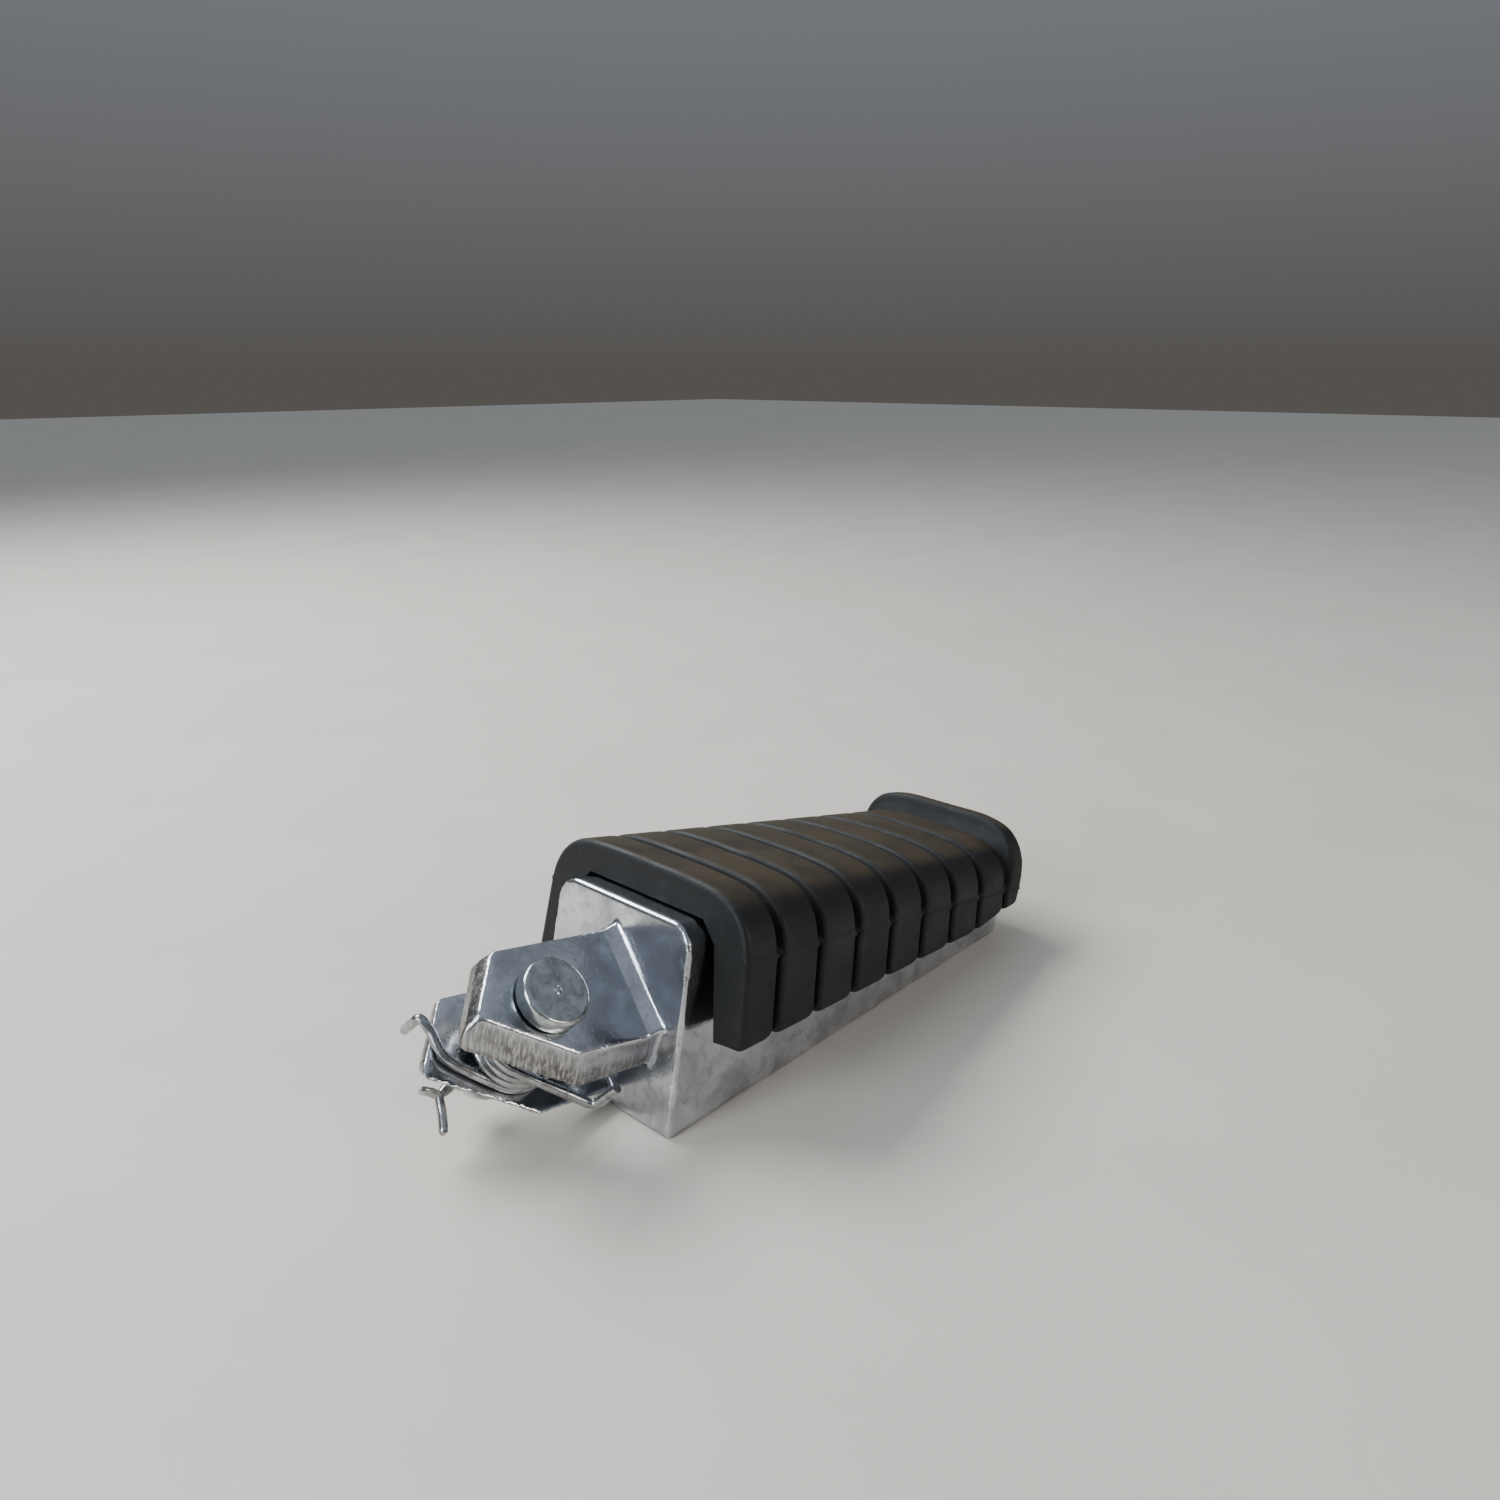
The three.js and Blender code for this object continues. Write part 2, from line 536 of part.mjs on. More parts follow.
function returnSpring() {
  const bottom = lowerEarInner + COIL_BOTTOM;
  const start = tangentAngle(FREE_LEG.x, FREE_LEG.u, 1);
  const end = tangentAngle(STOP_LEG.x, STOP_LEG.u, -1);
  const sweep = 2 * Math.PI * COIL_TURNS + (end - start + 4 * Math.PI) % (2 * Math.PI);
  const top = bottom + COIL_PITCH * sweep / (2 * Math.PI);
  const points = [];
  const add = (x, u, n) => points.push(new THREE.Vector3(PIN_X + x, u, n));
  const [tipX, tipU] = FREE_LEG_BEND[FREE_LEG_BEND.length - 1];
  add(tipX - 0.6, tipU, bottom - FREE_LEG.hook);
  add(tipX - 0.4, tipU, bottom - HOOK_R - 0.4);
  add(tipX - 0.2, tipU - 0.2, bottom - 0.3);
  for (const [x, u] of FREE_LEG_BEND.slice(0, -1).reverse()) add(x, u, bottom);
  add(FREE_LEG.x, FREE_LEG.u, bottom);
  const count = Math.round(COIL_STEPS * sweep / (2 * Math.PI));
  for (let i = 0; i <= count; i += 1) {
    const angle = start + sweep * i / count;
    const n = bottom + (top - bottom) * i / count;
    add(coilRest.x + COIL_R * Math.cos(angle), coilRest.y + COIL_R * Math.sin(angle), n);
  }
  const lastAngle = start + sweep;
  const from = new THREE.Vector2(Math.cos(lastAngle), Math.sin(lastAngle))
    .multiplyScalar(COIL_R)
    .add(coilRest);
  const to = new THREE.Vector2(STOP_LEG.x, STOP_LEG.u);
  for (const share of [0.3, 0.6, 0.88]) {
    const p = from.clone().lerp(to, share);
    add(p.x, p.y, top);
  }
  add(STOP_LEG.x - 0.3, STOP_LEG.u + 0.2, top + 0.4);
  add(STOP_LEG.x, STOP_LEG.u, top + HOOK_R);
  add(STOP_LEG.x, STOP_LEG.u, top + STOP_LEG.hook);
  const path = new THREE.CatmullRomCurve3(points, false, 'centripetal');
  const section = new THREE.Shape();
  section.absarc(0, 0, WIRE_R, 0, 2 * Math.PI, false);
  const geometry = new THREE.ExtrudeGeometry(section, {
    steps: count + 26, extrudePath: path, curveSegments: WIRE_SIDES / 2, bevelEnabled: false,
  });
  return meshOf('return_spring', solid(geometry), springSteel());
}

// --------------------------------------------------------------------- assembly
const hinge = new THREE.Group();
clevisFrame.decompose(hinge.position, hinge.quaternion, hinge.scale);
hinge.add(clevisPin(), pinWasher(), splitPin(), returnSpring());

const peg = new THREE.Group();
peg.add(castBar(), rubberPad(), carrierPlate());
peg.add(...studSet(STUD_X[0], 'inner'), ...studSet(STUD_X[1], 'outer'));
peg.add(hinge);
peg.rotation.y = rad(BOTTOM_SLOPE);
peg.updateMatrixWorld(true);

const bounds = new THREE.Box3().setFromObject(peg, true);
const centre = bounds.getCenter(new THREE.Vector3());
peg.position.set(-centre.x, -centre.y, -bounds.min.z);

const footPeg = new THREE.Group();
footPeg.add(peg);
export default footPeg;
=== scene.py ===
"""Looks for a folding motorcycle foot peg: cast bar, rubber tread pad, clevis pin,
split pin, return spring and the fixings that hold the pad down.

The peg is drawn straight in its own frame, in millimetres: x from the stop plate to
the tip, y across, z up from the bottom corner of the stop plate. PegSpace turns those
places into the row frame, in metres.
"""

import json
import logging
import math
from dataclasses import dataclass, field
from enum import Enum
from typing import Callable, Sequence

import bmesh
import bpy
import numpy as np
from mathutils import Matrix, Vector


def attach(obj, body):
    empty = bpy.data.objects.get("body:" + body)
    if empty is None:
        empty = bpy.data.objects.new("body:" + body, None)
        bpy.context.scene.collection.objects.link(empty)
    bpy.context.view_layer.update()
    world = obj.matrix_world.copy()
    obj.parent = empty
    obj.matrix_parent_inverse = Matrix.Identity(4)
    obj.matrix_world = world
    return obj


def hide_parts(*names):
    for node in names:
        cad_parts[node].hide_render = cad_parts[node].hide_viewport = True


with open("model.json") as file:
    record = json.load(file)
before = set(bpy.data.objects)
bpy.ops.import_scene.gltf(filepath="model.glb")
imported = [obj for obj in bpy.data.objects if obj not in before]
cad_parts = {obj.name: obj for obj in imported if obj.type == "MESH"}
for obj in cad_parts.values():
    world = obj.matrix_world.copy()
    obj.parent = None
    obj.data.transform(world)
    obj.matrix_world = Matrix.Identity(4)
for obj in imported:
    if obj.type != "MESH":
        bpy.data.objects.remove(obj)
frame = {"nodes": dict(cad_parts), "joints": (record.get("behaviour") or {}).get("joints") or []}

LOG = logging.getLogger("foot_peg")
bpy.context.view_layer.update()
Point = tuple[float, float]
Socket = bpy.types.NodeSocket


class Body(Enum):
    """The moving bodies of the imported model."""

    PEG = "peg"
    PIN = "pin"
    WASHER = "washer"
    SPRING = "spring"


class Slot(Enum):
    """The record's material slots."""

    CASTING = "cast_aluminium"
    RUBBER = "rubber"
    ZINC = "zinc_steel"
    BRIGHT = "bright_steel"
    SPRING = "spring_steel"
    BLACK = "black_steel"


# --------------------------------------------------------------------- peg's frame
@dataclass(frozen=True)
class PegSpace:
    """Turns the peg's own millimetres into the row frame's metres."""

    pitch: float = math.radians(12.0)
    pin_x: float = -17.1
    clevis_z: float = 16.8
    lean: float = math.radians(44.0)

    @property
    def turn(self) -> np.ndarray:
        """Rotation from the peg's axes to the row's axes."""
        c, s = math.cos(self.pitch), math.sin(self.pitch)
        return np.array([[c, 0, s], [0, 1, 0], [-s, 0, c]])

    @property
    def shift(self) -> np.ndarray:
        """Finds the peg's origin from the pin's joint.

        Returns:
            Its place in the row frame, in metres.
        """
        pin = next(j for j in frame["joints"] if j["name"] == "pin_turn")
        local = np.array([self.pin_x, 0.0, self.clevis_z])
        return np.array(pin["pos_m"]) - self.turn @ local / 1000

    def row(self, points: np.ndarray) -> np.ndarray:
        """Gives points of the peg's frame, in mm, as row points in metres."""
        return np.asarray(points, float) @ self.turn.T / 1000 + self.shift

    def clevis(self, points: np.ndarray) -> np.ndarray:
        """Takes points of the clevis frame to the row frame.

        Args:
            points: x from the pin, u across and n up the pin, in mm.

        Returns:
            The places in the row frame, in metres.
        """
        p = np.asarray(points, float)
        c, s = math.cos(self.lean), math.sin(self.lean)
        across = np.array([0.0, c, s])
        up = np.array([0.0, -s, c])
        base = np.array([self.pin_x, 0.0, self.clevis_z])
        peg = base + p[..., :1] * [1.0, 0, 0] + p[..., 1:2] * across + p[..., 2:3] * up
        return self.row(peg)


SPACE = PegSpace()


# -------------------------------------------------------------------- mesh making
def mesh_object(name: str, verts: np.ndarray, faces: Sequence[Sequence[int]],
                sharp: float = 40.0) -> bpy.types.Object:
    """Makes a smooth-shaded object whose creases above an angle stay sharp.

    Args:
        name: the piece's name.
        verts: points in the row frame, in metres.
        faces: index lists.
        sharp: angle in degrees above which an edge shades sharp.

    Returns:
        The linked object.
    """
    mesh = bpy.data.meshes.new(name)
    mesh.from_pydata([tuple(v) for v in verts], [], [tuple(f) for f in faces])
    mesh.update()
    thing = bpy.data.objects.new(name, mesh)
    bpy.context.scene.collection.objects.link(thing)
    tidy(thing, sharp)
    return thing


def tidy(thing: bpy.types.Object, sharp: float = 40.0) -> None:
    """Welds doubles, points the faces outwards and marks the sharp edges.

    Args:
        thing: the mesh object to clean.
        sharp: angle in degrees above which an edge shades sharp.
    """
    work = bmesh.new()
    work.from_mesh(thing.data)
    bmesh.ops.remove_doubles(work, verts=work.verts, dist=1e-7)
    bmesh.ops.recalc_face_normals(work, faces=work.faces)
    limit = math.radians(sharp)
    for face in work.faces:
        face.smooth = len(face.verts) <= 4
    for edge in work.edges:
        if len(edge.link_faces) == 2:
            edge.smooth = edge.calc_face_angle(0.0) < limit
    work.to_mesh(thing.data)
    work.free()


def loft(name: str, rings: np.ndarray, caps: bool = True, loop: bool = False,
         sharp: float = 40.0) -> bpy.types.Object:
    """Skins a stack of closed rings.

    Args:
        name: the piece's name.
        rings: array of rings x points x 3, in the row frame.
        caps: closes the first and last ring with a face.
        loop: joins the last ring back to the first.
        sharp: angle in degrees above which an edge shades sharp.

    Returns:
        The linked object.
    """
    count, size = rings.shape[:2]
    faces = []
    last = count if loop else count - 1
    for i in range(last):
        a, b = i * size, ((i + 1) % count) * size
        for j in range(size):
            k = (j + 1) % size
            faces.append((a + j, a + k, b + k, b + j))
    if caps and not loop:
        faces.append(tuple(range(size)))
        faces.append(tuple((count - 1) * size + j for j in reversed(range(size))))
    return mesh_object(name, rings.reshape(-1, 3), faces, sharp)


def revolve(name: str, profile: Sequence[Point], place: Callable[[np.ndarray], np.ndarray],
            sides: int = 64, loop: bool = False, radius: Callable[..., np.ndarray] | None = None,
            sharp: float = 40.0) -> bpy.types.Object:
    """Turns a profile of (radius, height) about the local z axis.

    Args:
        name: the piece's name.
        profile: points from the bottom to the top, or right round when loop is set.
        place: takes local points, in mm, to the row frame.
        sides: number of steps round the axis.
        loop: the profile closes on itself, as a ring's does.
        radius: changes a radius, given the radius, angle and height.
        sharp: angle in degrees above which an edge shades sharp.

    Returns:
        The linked object.
    """
    angle = np.linspace(0, 2 * math.pi, sides, endpoint=False)
    rings = []
    for r, z in profile:
        around = np.full(sides, float(r)) if radius is None else radius(r, angle, z)
        rings.append(np.stack([around * np.cos(angle), around * np.sin(angle), np.full(sides, z)], 1))
    return loft(name, place(np.array(rings)), caps=not loop, loop=loop, sharp=sharp)


def smooth_path(points: Sequence[Sequence[float]], step: float) -> np.ndarray:
    """Runs a centripetal curve through points.

    Args:
        points: the points to pass through, in mm.
        step: distance between samples, in mm.

    Returns:
        The sampled curve.
    """
    p = np.asarray(points, float)
    p = np.vstack([2 * p[0] - p[1], p, 2 * p[-1] - p[-2]])
    out = []
    for a, b, c, d in zip(p[:-3], p[1:-2], p[2:-1], p[3:]):
        t = np.cumsum([0.0] + [max(np.linalg.norm(v) ** 0.5, 1e-6) for v in (b - a, c - b, d - c)])
        count = max(2, int(np.linalg.norm(c - b) / step) + 1)
        for s in np.linspace(t[1], t[2], count, endpoint=False):
            ab = ((t[1] - s) * a + (s - t[0]) * b) / (t[1] - t[0])
            bc = ((t[2] - s) * b + (s - t[1]) * c) / (t[2] - t[1])
            cd = ((t[3] - s) * c + (s - t[2]) * d) / (t[3] - t[2])
            abc = ((t[2] - s) * ab + (s - t[0]) * bc) / (t[2] - t[0])
            bcd = ((t[3] - s) * bc + (s - t[1]) * cd) / (t[3] - t[1])
            out.append(((t[2] - s) * abc + (s - t[1]) * bcd) / (t[2] - t[1]))
    out.append(p[-2])
    return np.array(out)


def sweep(name: str, path: np.ndarray, section: np.ndarray,
          place: Callable[[np.ndarray], np.ndarray], ends: Sequence[float] = (),
          side: Sequence[float] | None = None, sharp: float = 40.0) -> bpy.types.Object:
    """Carries a section along a path.

    Args:
        name: the piece's name.
        path: curve points, in mm.
        section: points of the section's outline, in mm.
        place: takes local points to the row frame.
        ends: shares of the section's size over the last few steps at each end, for a rounded end.
        side: fixed direction of the section's second axis; parallel transport otherwise.
        sharp: angle in degrees above which an edge shades sharp.

    Returns:
        The linked object.
    """
    along = np.gradient(path, axis=0)
    along /= np.linalg.norm(along, axis=1, keepdims=True)
    rings = []
    guess = np.array(side if side is not None else np.eye(3)[np.argmin(np.abs(along[0]))])
    for i, (spot, t) in enumerate(zip(path, along)):
        second = guess - (guess @ t) * t
        second /= np.linalg.norm(second)
        if side is None:
            guess = second
        first = np.cross(second, t)
        near = min(i, len(path) - 1 - i)
        size = ends[near] if near < len(ends) else 1.0
        rings.append(spot + size * (section[:, :1] * first + section[:, 1:] * second))
    return loft(name, place(np.array(rings)), sharp=sharp)


def applied(thing: bpy.types.Object, name: str) -> bpy.types.Object:
    """Applies an object's modifiers.

    Args:
        thing: the object, which is removed.
        name: the new object's name.

    Returns:
        A new object that holds the finished mesh.
    """
    graph = bpy.context.evaluated_depsgraph_get()
    mesh = bpy.data.meshes.new_from_object(thing.evaluated_get(graph))
    result = bpy.data.objects.new(name, mesh)
    bpy.context.scene.collection.objects.link(result)
    bpy.data.objects.remove(thing)
    return result


# ---------------------------------------------------------------------- materials
class Sheet:
    """A material's node tree, with short words for the nodes that the finishes use."""

    def __init__(self, name: str) -> None:
        """Starts an empty material that has one surface shader.

        Args:
            name: the material's name.
        """
        self.material = bpy.data.materials.new(name)
        self.material.use_nodes = True
        self.tree = self.material.node_tree
        self.tree.nodes.clear()
        self.shader = self.tree.nodes.new("ShaderNodeBsdfPrincipled")
        out = self.tree.nodes.new("ShaderNodeOutputMaterial")
        self.tree.links.new(self.shader.outputs[0], out.inputs["Surface"])

    def link(self, source: Socket, target: Socket) -> None:
        """Joins two sockets."""
        self.tree.links.new(source, target)

    def feed(self, target: Socket, value: Socket | float | Sequence[float]) -> None:
        """Puts a socket or a plain value on an input.

        Args:
            target: the input.
            value: what it takes.
        """
        if isinstance(value, bpy.types.NodeSocket):
            self.link(value, target)
        else:
            target.default_value = value

    def peg_place(self, stretch: Sequence[float] = (1.0, 1.0, 1.0),
                  turn: Sequence[float] = (0.0, 0.0, 0.0)) -> Socket:
        """Gives the surface point along the peg's own straight axes, in metres.

        Args:
            stretch: scale along each axis.
            turn: extra rotation in radians.

        Returns:
            The vector socket.
        """
        coords = self.tree.nodes.new("ShaderNodeTexCoord")
        level = self.tree.nodes.new("ShaderNodeMapping")
        level.inputs["Rotation"].default_value = (0.0, -SPACE.pitch, 0.0)
        self.link(coords.outputs["Object"], level.inputs["Vector"])
        last = self.tree.nodes.new("ShaderNodeMapping")
        last.inputs["Rotation"].default_value = turn
        last.inputs["Scale"].default_value = stretch
        self.link(level.outputs[0], last.inputs["Vector"])
        return last.outputs[0]

    def noise(self, vector: Socket, scale: float, detail: float = 4.0, rough: float = 0.55,
              bend: float = 0.0) -> Socket:
        """Adds a noise texture.

        Args:
            vector: where it is sampled.
            scale: its fineness, in waves per metre.
            detail: how many finer layers it has.
            rough: strength of the finer layers.
            bend: how far it is distorted.

        Returns:
            Its value.
        """
        node = self.tree.nodes.new("ShaderNodeTexNoise")
        self.link(vector, node.inputs["Vector"])
        node.inputs["Scale"].default_value = scale
        node.inputs["Detail"].default_value = detail
        node.inputs["Roughness"].default_value = rough
        node.inputs["Distortion"].default_value = bend
        return node.outputs["Fac"]

    def specks(self, vector: Socket, scale: float) -> Socket:
        """Adds a cell texture.

        Args:
            vector: where it is sampled.
            scale: its fineness, in cells per metre.

        Returns:
            The distance to each cell's centre.
        """
        node = self.tree.nodes.new("ShaderNodeTexVoronoi")
        self.link(vector, node.inputs["Vector"])
        node.inputs["Scale"].default_value = scale
        return node.outputs["Distance"]

    def ramp(self, value: Socket, low: float, high: float, to_low: float = 0.0,
             to_high: float = 1.0) -> Socket:
        """Maps a range of values to another, clamped and eased.

        Args:
            value: what is mapped.
            low: lowest value taken in.
            high: highest value taken in.
            to_low: what the lowest becomes.
            to_high: what the highest becomes.

        Returns:
            The mapped value.
        """
        node = self.tree.nodes.new("ShaderNodeMapRange")
        node.interpolation_type = "SMOOTHSTEP"
        self.link(value, node.inputs["Value"])
        node.inputs["From Min"].default_value = low
        node.inputs["From Max"].default_value = high
        node.inputs["To Min"].default_value = to_low
        node.inputs["To Max"].default_value = to_high
        return node.outputs["Result"]

    def math(self, kind: str, a: Socket | float, b: Socket | float = 0.0) -> Socket:
        """Adds a maths node.

        Args:
            kind: its operation.
            a: first value.
            b: second value, where the operation has one.

        Returns:
            The result.
        """
        node = self.tree.nodes.new("ShaderNodeMath")
        node.operation = kind
        self.feed(node.inputs[0], a)
        self.feed(node.inputs[1], b)
        return node.outputs[0]

    def mix(self, share: Socket | float, a: Socket | Sequence[float],
            b: Socket | Sequence[float]) -> Socket:
        """Mixes two colours.

        Args:
            share: how much of the second shows.
            a: first colour.
            b: second colour.

        Returns:
            The mixed colour.
        """
        node = self.tree.nodes.new("ShaderNodeMix")
        node.data_type = "RGBA"
        self.feed(node.inputs[0], share)
        self.feed(node.inputs[6], a if isinstance(a, bpy.types.NodeSocket) else (*a, 1.0))
        self.feed(node.inputs[7], b if isinstance(b, bpy.types.NodeSocket) else (*b, 1.0))
        return node.outputs[2]

    def axis(self, vector: Socket, which: int) -> Socket:
        """Splits a vector.

        Args:
            vector: the vector.
            which: 0, 1 or 2 for x, y or z.

        Returns:
            That component.
        """
        node = self.tree.nodes.new("ShaderNodeSeparateXYZ")
        self.link(vector, node.inputs[0])
        return node.outputs[which]

    def facing(self, direction: Sequence[float]) -> Socket:
        """Compares the surface's direction with a fixed one.

        Args:
            direction: a direction of the row frame.

        Returns:
            The cosine between the two.
        """
        normal = self.tree.nodes.new("ShaderNodeNewGeometry").outputs["Normal"]
        node = self.tree.nodes.new("ShaderNodeVectorMath")
        node.operation = "DOT_PRODUCT"
        self.link(normal, node.inputs[0])
        node.inputs[1].default_value = tuple(direction)
        return node.outputs["Value"]

    def bumps(self, *layers: tuple[Socket, float, float]) -> None:
        """Stacks bump layers on the shader.

        Args:
            *layers: height, strength and distance in metres of each.
        """
        previous = None
        for height, strength, distance in layers:
            node = self.tree.nodes.new("ShaderNodeBump")
            node.inputs["Strength"].default_value = strength
            node.inputs["Distance"].default_value = distance
            self.link(height, node.inputs["Height"])
            if previous is not None:
                self.link(previous, node.inputs["Normal"])
            previous = node.outputs[0]
        self.link(previous, self.shader.inputs["Normal"])

    def set(self, **values: Socket | float | Sequence[float]) -> None:
        """Sets shader inputs by name, with _ for a space."""
        for key, value in values.items():
            self.feed(self.shader.inputs[key.replace("_", " ")], value)


@dataclass(frozen=True)
class PolishedCasting:
    """Polished cast aluminium with ground ear flanks.

    The ears stand behind ears_end, in metres along the level bar.
    """

    bright: tuple[float, float, float] = (0.7, 0.72, 0.76)
    dull: tuple[float, float, float] = (0.42, 0.43, 0.46)
    ground: tuple[float, float, float] = (0.16, 0.155, 0.15)
    scratch: tuple[float, float, float] = (0.5, 0.49, 0.48)
    stain: tuple[float, float, float] = (0.34, 0.35, 0.37)
    ears_end: float = -0.0362

    def make(self) -> bpy.types.Material:
        """Builds the material.

        Returns:
            The material.
        """
        s = Sheet("polished_casting")
        place = s.peg_place()
        cloud = s.noise(place, 130, 5, 0.6, 0.4)
        fine = s.noise(place, 1500, 5, 0.7)
        blotch = s.noise(place, 420, 6, 0.65, 0.6)
        pits = s.specks(place, 620)
        hair = s.noise(s.peg_place((40, 1500, 1500)), 1.0, 3, 0.6)
        along_pin = s.noise(s.peg_place((2600, 2600, 60), (-SPACE.lean, 0.0, 0.0)), 1.0, 4, 0.6)
        ahead = s.math("LESS_THAN", s.axis(place, 0), self.ears_end)
        up = SPACE.turn @ np.array([0.0, -math.sin(SPACE.lean), math.cos(SPACE.lean)])
        lying = s.math("ABSOLUTE", s.facing(up))
        flank = s.math("MULTIPLY", ahead, s.ramp(lying, 0.35, 0.75, 1.0, 0.0))
        tone = s.mix(s.ramp(cloud, 0.35, 0.7), self.bright, self.dull)
        tone = s.mix(s.ramp(blotch, 0.5, 0.68, 0.0, 0.55), tone, self.stain)
        streak = s.mix(s.ramp(along_pin, 0.42, 0.66), self.ground, self.scratch)
        tone = s.mix(flank, tone, streak)
        rough = s.ramp(cloud, 0.3, 0.75, 0.1, 0.24)
        rough = s.math("ADD", rough, s.ramp(blotch, 0.5, 0.8, 0.0, 0.14))
        rough = s.math("ADD", rough, s.math("MULTIPLY", flank, 0.12))
        s.set(Base_Color=tone, Metallic=1.0, Roughness=rough)
        s.bumps(
            (s.noise(place, 210, 3), 0.22, 0.0004),
            (s.ramp(pits, 0.0, 0.22), 0.3, 0.00008),
            (fine, 0.3, 0.00005),
            (hair, 0.25, 0.00004),
            (s.math("MULTIPLY", along_pin, flank), 0.5, 0.00012),
        )
        return s.material


@dataclass(frozen=True)
class WornRubber:
    """Moulded charcoal rubber, brown and dusty where boots rub it."""

    skin: tuple[float, float, float] = (0.0085, 0.009, 0.0098)
    worn: tuple[float, float, float] = (0.05, 0.037, 0.02)
    dust: tuple[float, float, float] = (0.055, 0.052, 0.045)

    def make(self) -> bpy.types.Material:
        """Builds the material.

        Returns:
            The material.
        """
        s = Sheet("worn_rubber")
        place = s.peg_place()
        patch = s.noise(place, 90, 5, 0.6, 0.5)
        grain = s.noise(place, 2600, 4, 0.6)
        film = s.noise(s.peg_place((120, 420, 420)), 1.0, 5, 0.6)
        top = s.facing(SPACE.turn @ np.array([0.0, 0.0, 1.0]))
        rubbed = s.math("MULTIPLY", s.ramp(top, 0.75, 0.98), s.ramp(patch, 0.3, 0.62, 0.55, 1.0))
        tone = s.mix(rubbed, self.skin, self.worn)
        tone = s.mix(s.ramp(film, 0.55, 0.85, 0.0, 0.35), tone, self.dust)
        scuffs = s.noise(s.peg_place((260, 1500, 1500), (0.0, 0.0, 0.6)), 1.0, 4, 0.7)
        tone = s.mix(s.math("MULTIPLY", s.ramp(scuffs, 0.62, 0.74, 0.0, 0.5), rubbed), tone, self.dust)
        rough = s.ramp(patch, 0.3, 0.75, 0.5, 0.68)
        s.set(Base_Color=tone, Roughness=rough, Specular_IOR_Level=0.3)
        s.bumps(
            (s.noise(place, 260, 4), 0.25, 0.0003),
            (s.noise(place, 900, 4), 0.3, 0.00012),
            (grain, 0.4, 0.00006),
        )
        return s.material


@dataclass(frozen=True)
class PlatedSteel:
    """Plated steel with a fine turned or drawn grain."""

    name: str
    bright: tuple[float, float, float]
    dull: tuple[float, float, float]
    smooth: float
    rough: float
    stain: tuple[float, float, float] = (0.2, 0.17, 0.13)

    def make(self) -> bpy.types.Material:
        """Builds the material.

        Returns:
            The material.
        """
        s = Sheet(self.name)
        place = s.peg_place()
        cloud = s.noise(place, 360, 5, 0.6, 0.5)
        fine = s.noise(place, 2400, 4, 0.6)
        dirt = s.noise(place, 900, 5, 0.7)
        tone = s.mix(s.ramp(cloud, 0.35, 0.68), self.bright, self.dull)
        tone = s.mix(s.ramp(dirt, 0.6, 0.78, 0.0, 0.45), tone, self.stain)
        s.set(Base_Color=tone, Metallic=1.0, Roughness=s.ramp(cloud, 0.3, 0.7, self.smooth, self.rough))
        s.bumps(
            (s.noise(place, 650, 3), 0.4, 0.00015),
            (s.noise(place, 1500, 3), 0.4, 0.00008),
            (fine, 0.3, 0.00004),
        )
        return s.material


@dataclass(frozen=True)
class BlackCoat:
    """Black coating on pressed steel."""

    tone: tuple[float, float, float] = (0.02, 0.02, 0.021)
    dust: tuple[float, float, float] = (0.06, 0.055, 0.05)

    def make(self) -> bpy.types.Material:
        """Builds the material.

        Returns:
            The material.
        """
        s = Sheet("black_coat")
        place = s.peg_place()
        cloud = s.noise(place, 300, 5)
        tone = s.mix(s.ramp(cloud, 0.4, 0.7), self.tone, self.dust)
        s.set(Base_Color=tone, Metallic=0.0, Roughness=s.ramp(cloud, 0.3, 0.7, 0.4, 0.6))
        s.bumps((s.noise(place, 1200, 3), 0.25, 0.00005))
        return s.material


@dataclass
class Finishes:
    """Every finish, made once."""

    made: dict[Slot, bpy.types.Material] = field(default_factory=dict)

    def __post_init__(self) -> None:
        """Builds the materials."""
        self.made[Slot.CASTING] = PolishedCasting().make()
        self.made[Slot.RUBBER] = WornRubber().make()
        zinc = PlatedSteel("zinc_plate", (0.6, 0.64, 0.63), (0.3, 0.33, 0.32), 0.14, 0.3)
        bright = PlatedSteel("bright_wire", (0.5, 0.5, 0.5), (0.24, 0.24, 0.24), 0.12, 0.28)
        spring = PlatedSteel("spring_wire", (0.5, 0.51, 0.52), (0.25, 0.25, 0.25), 0.12, 0.3)
        self.made[Slot.ZINC] = zinc.make()
        self.made[Slot.BRIGHT] = bright.make()
        self.made[Slot.SPRING] = spring.make()
        self.made[Slot.BLACK] = BlackCoat().make()

    def dress(self, thing: bpy.types.Object, slot: Slot, body: Body, *nodes: str) -> None:
        """Gives a piece the finish made for its slot, puts it on its body, and hides the nodes that it stands
        for.

        Args:
            thing: the finished mesh object.
            slot: the record's material slot.
            body: the moving body it rides on.
            *nodes: the CAD nodes it replaces.
        """
        thing.data.materials.clear()
        thing.data.materials.append(self.made[slot])
        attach(thing, body.value)
        if nodes:
            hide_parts(*nodes)
        LOG.info("%s: %d faces", thing.name, len(thing.data.polygons))


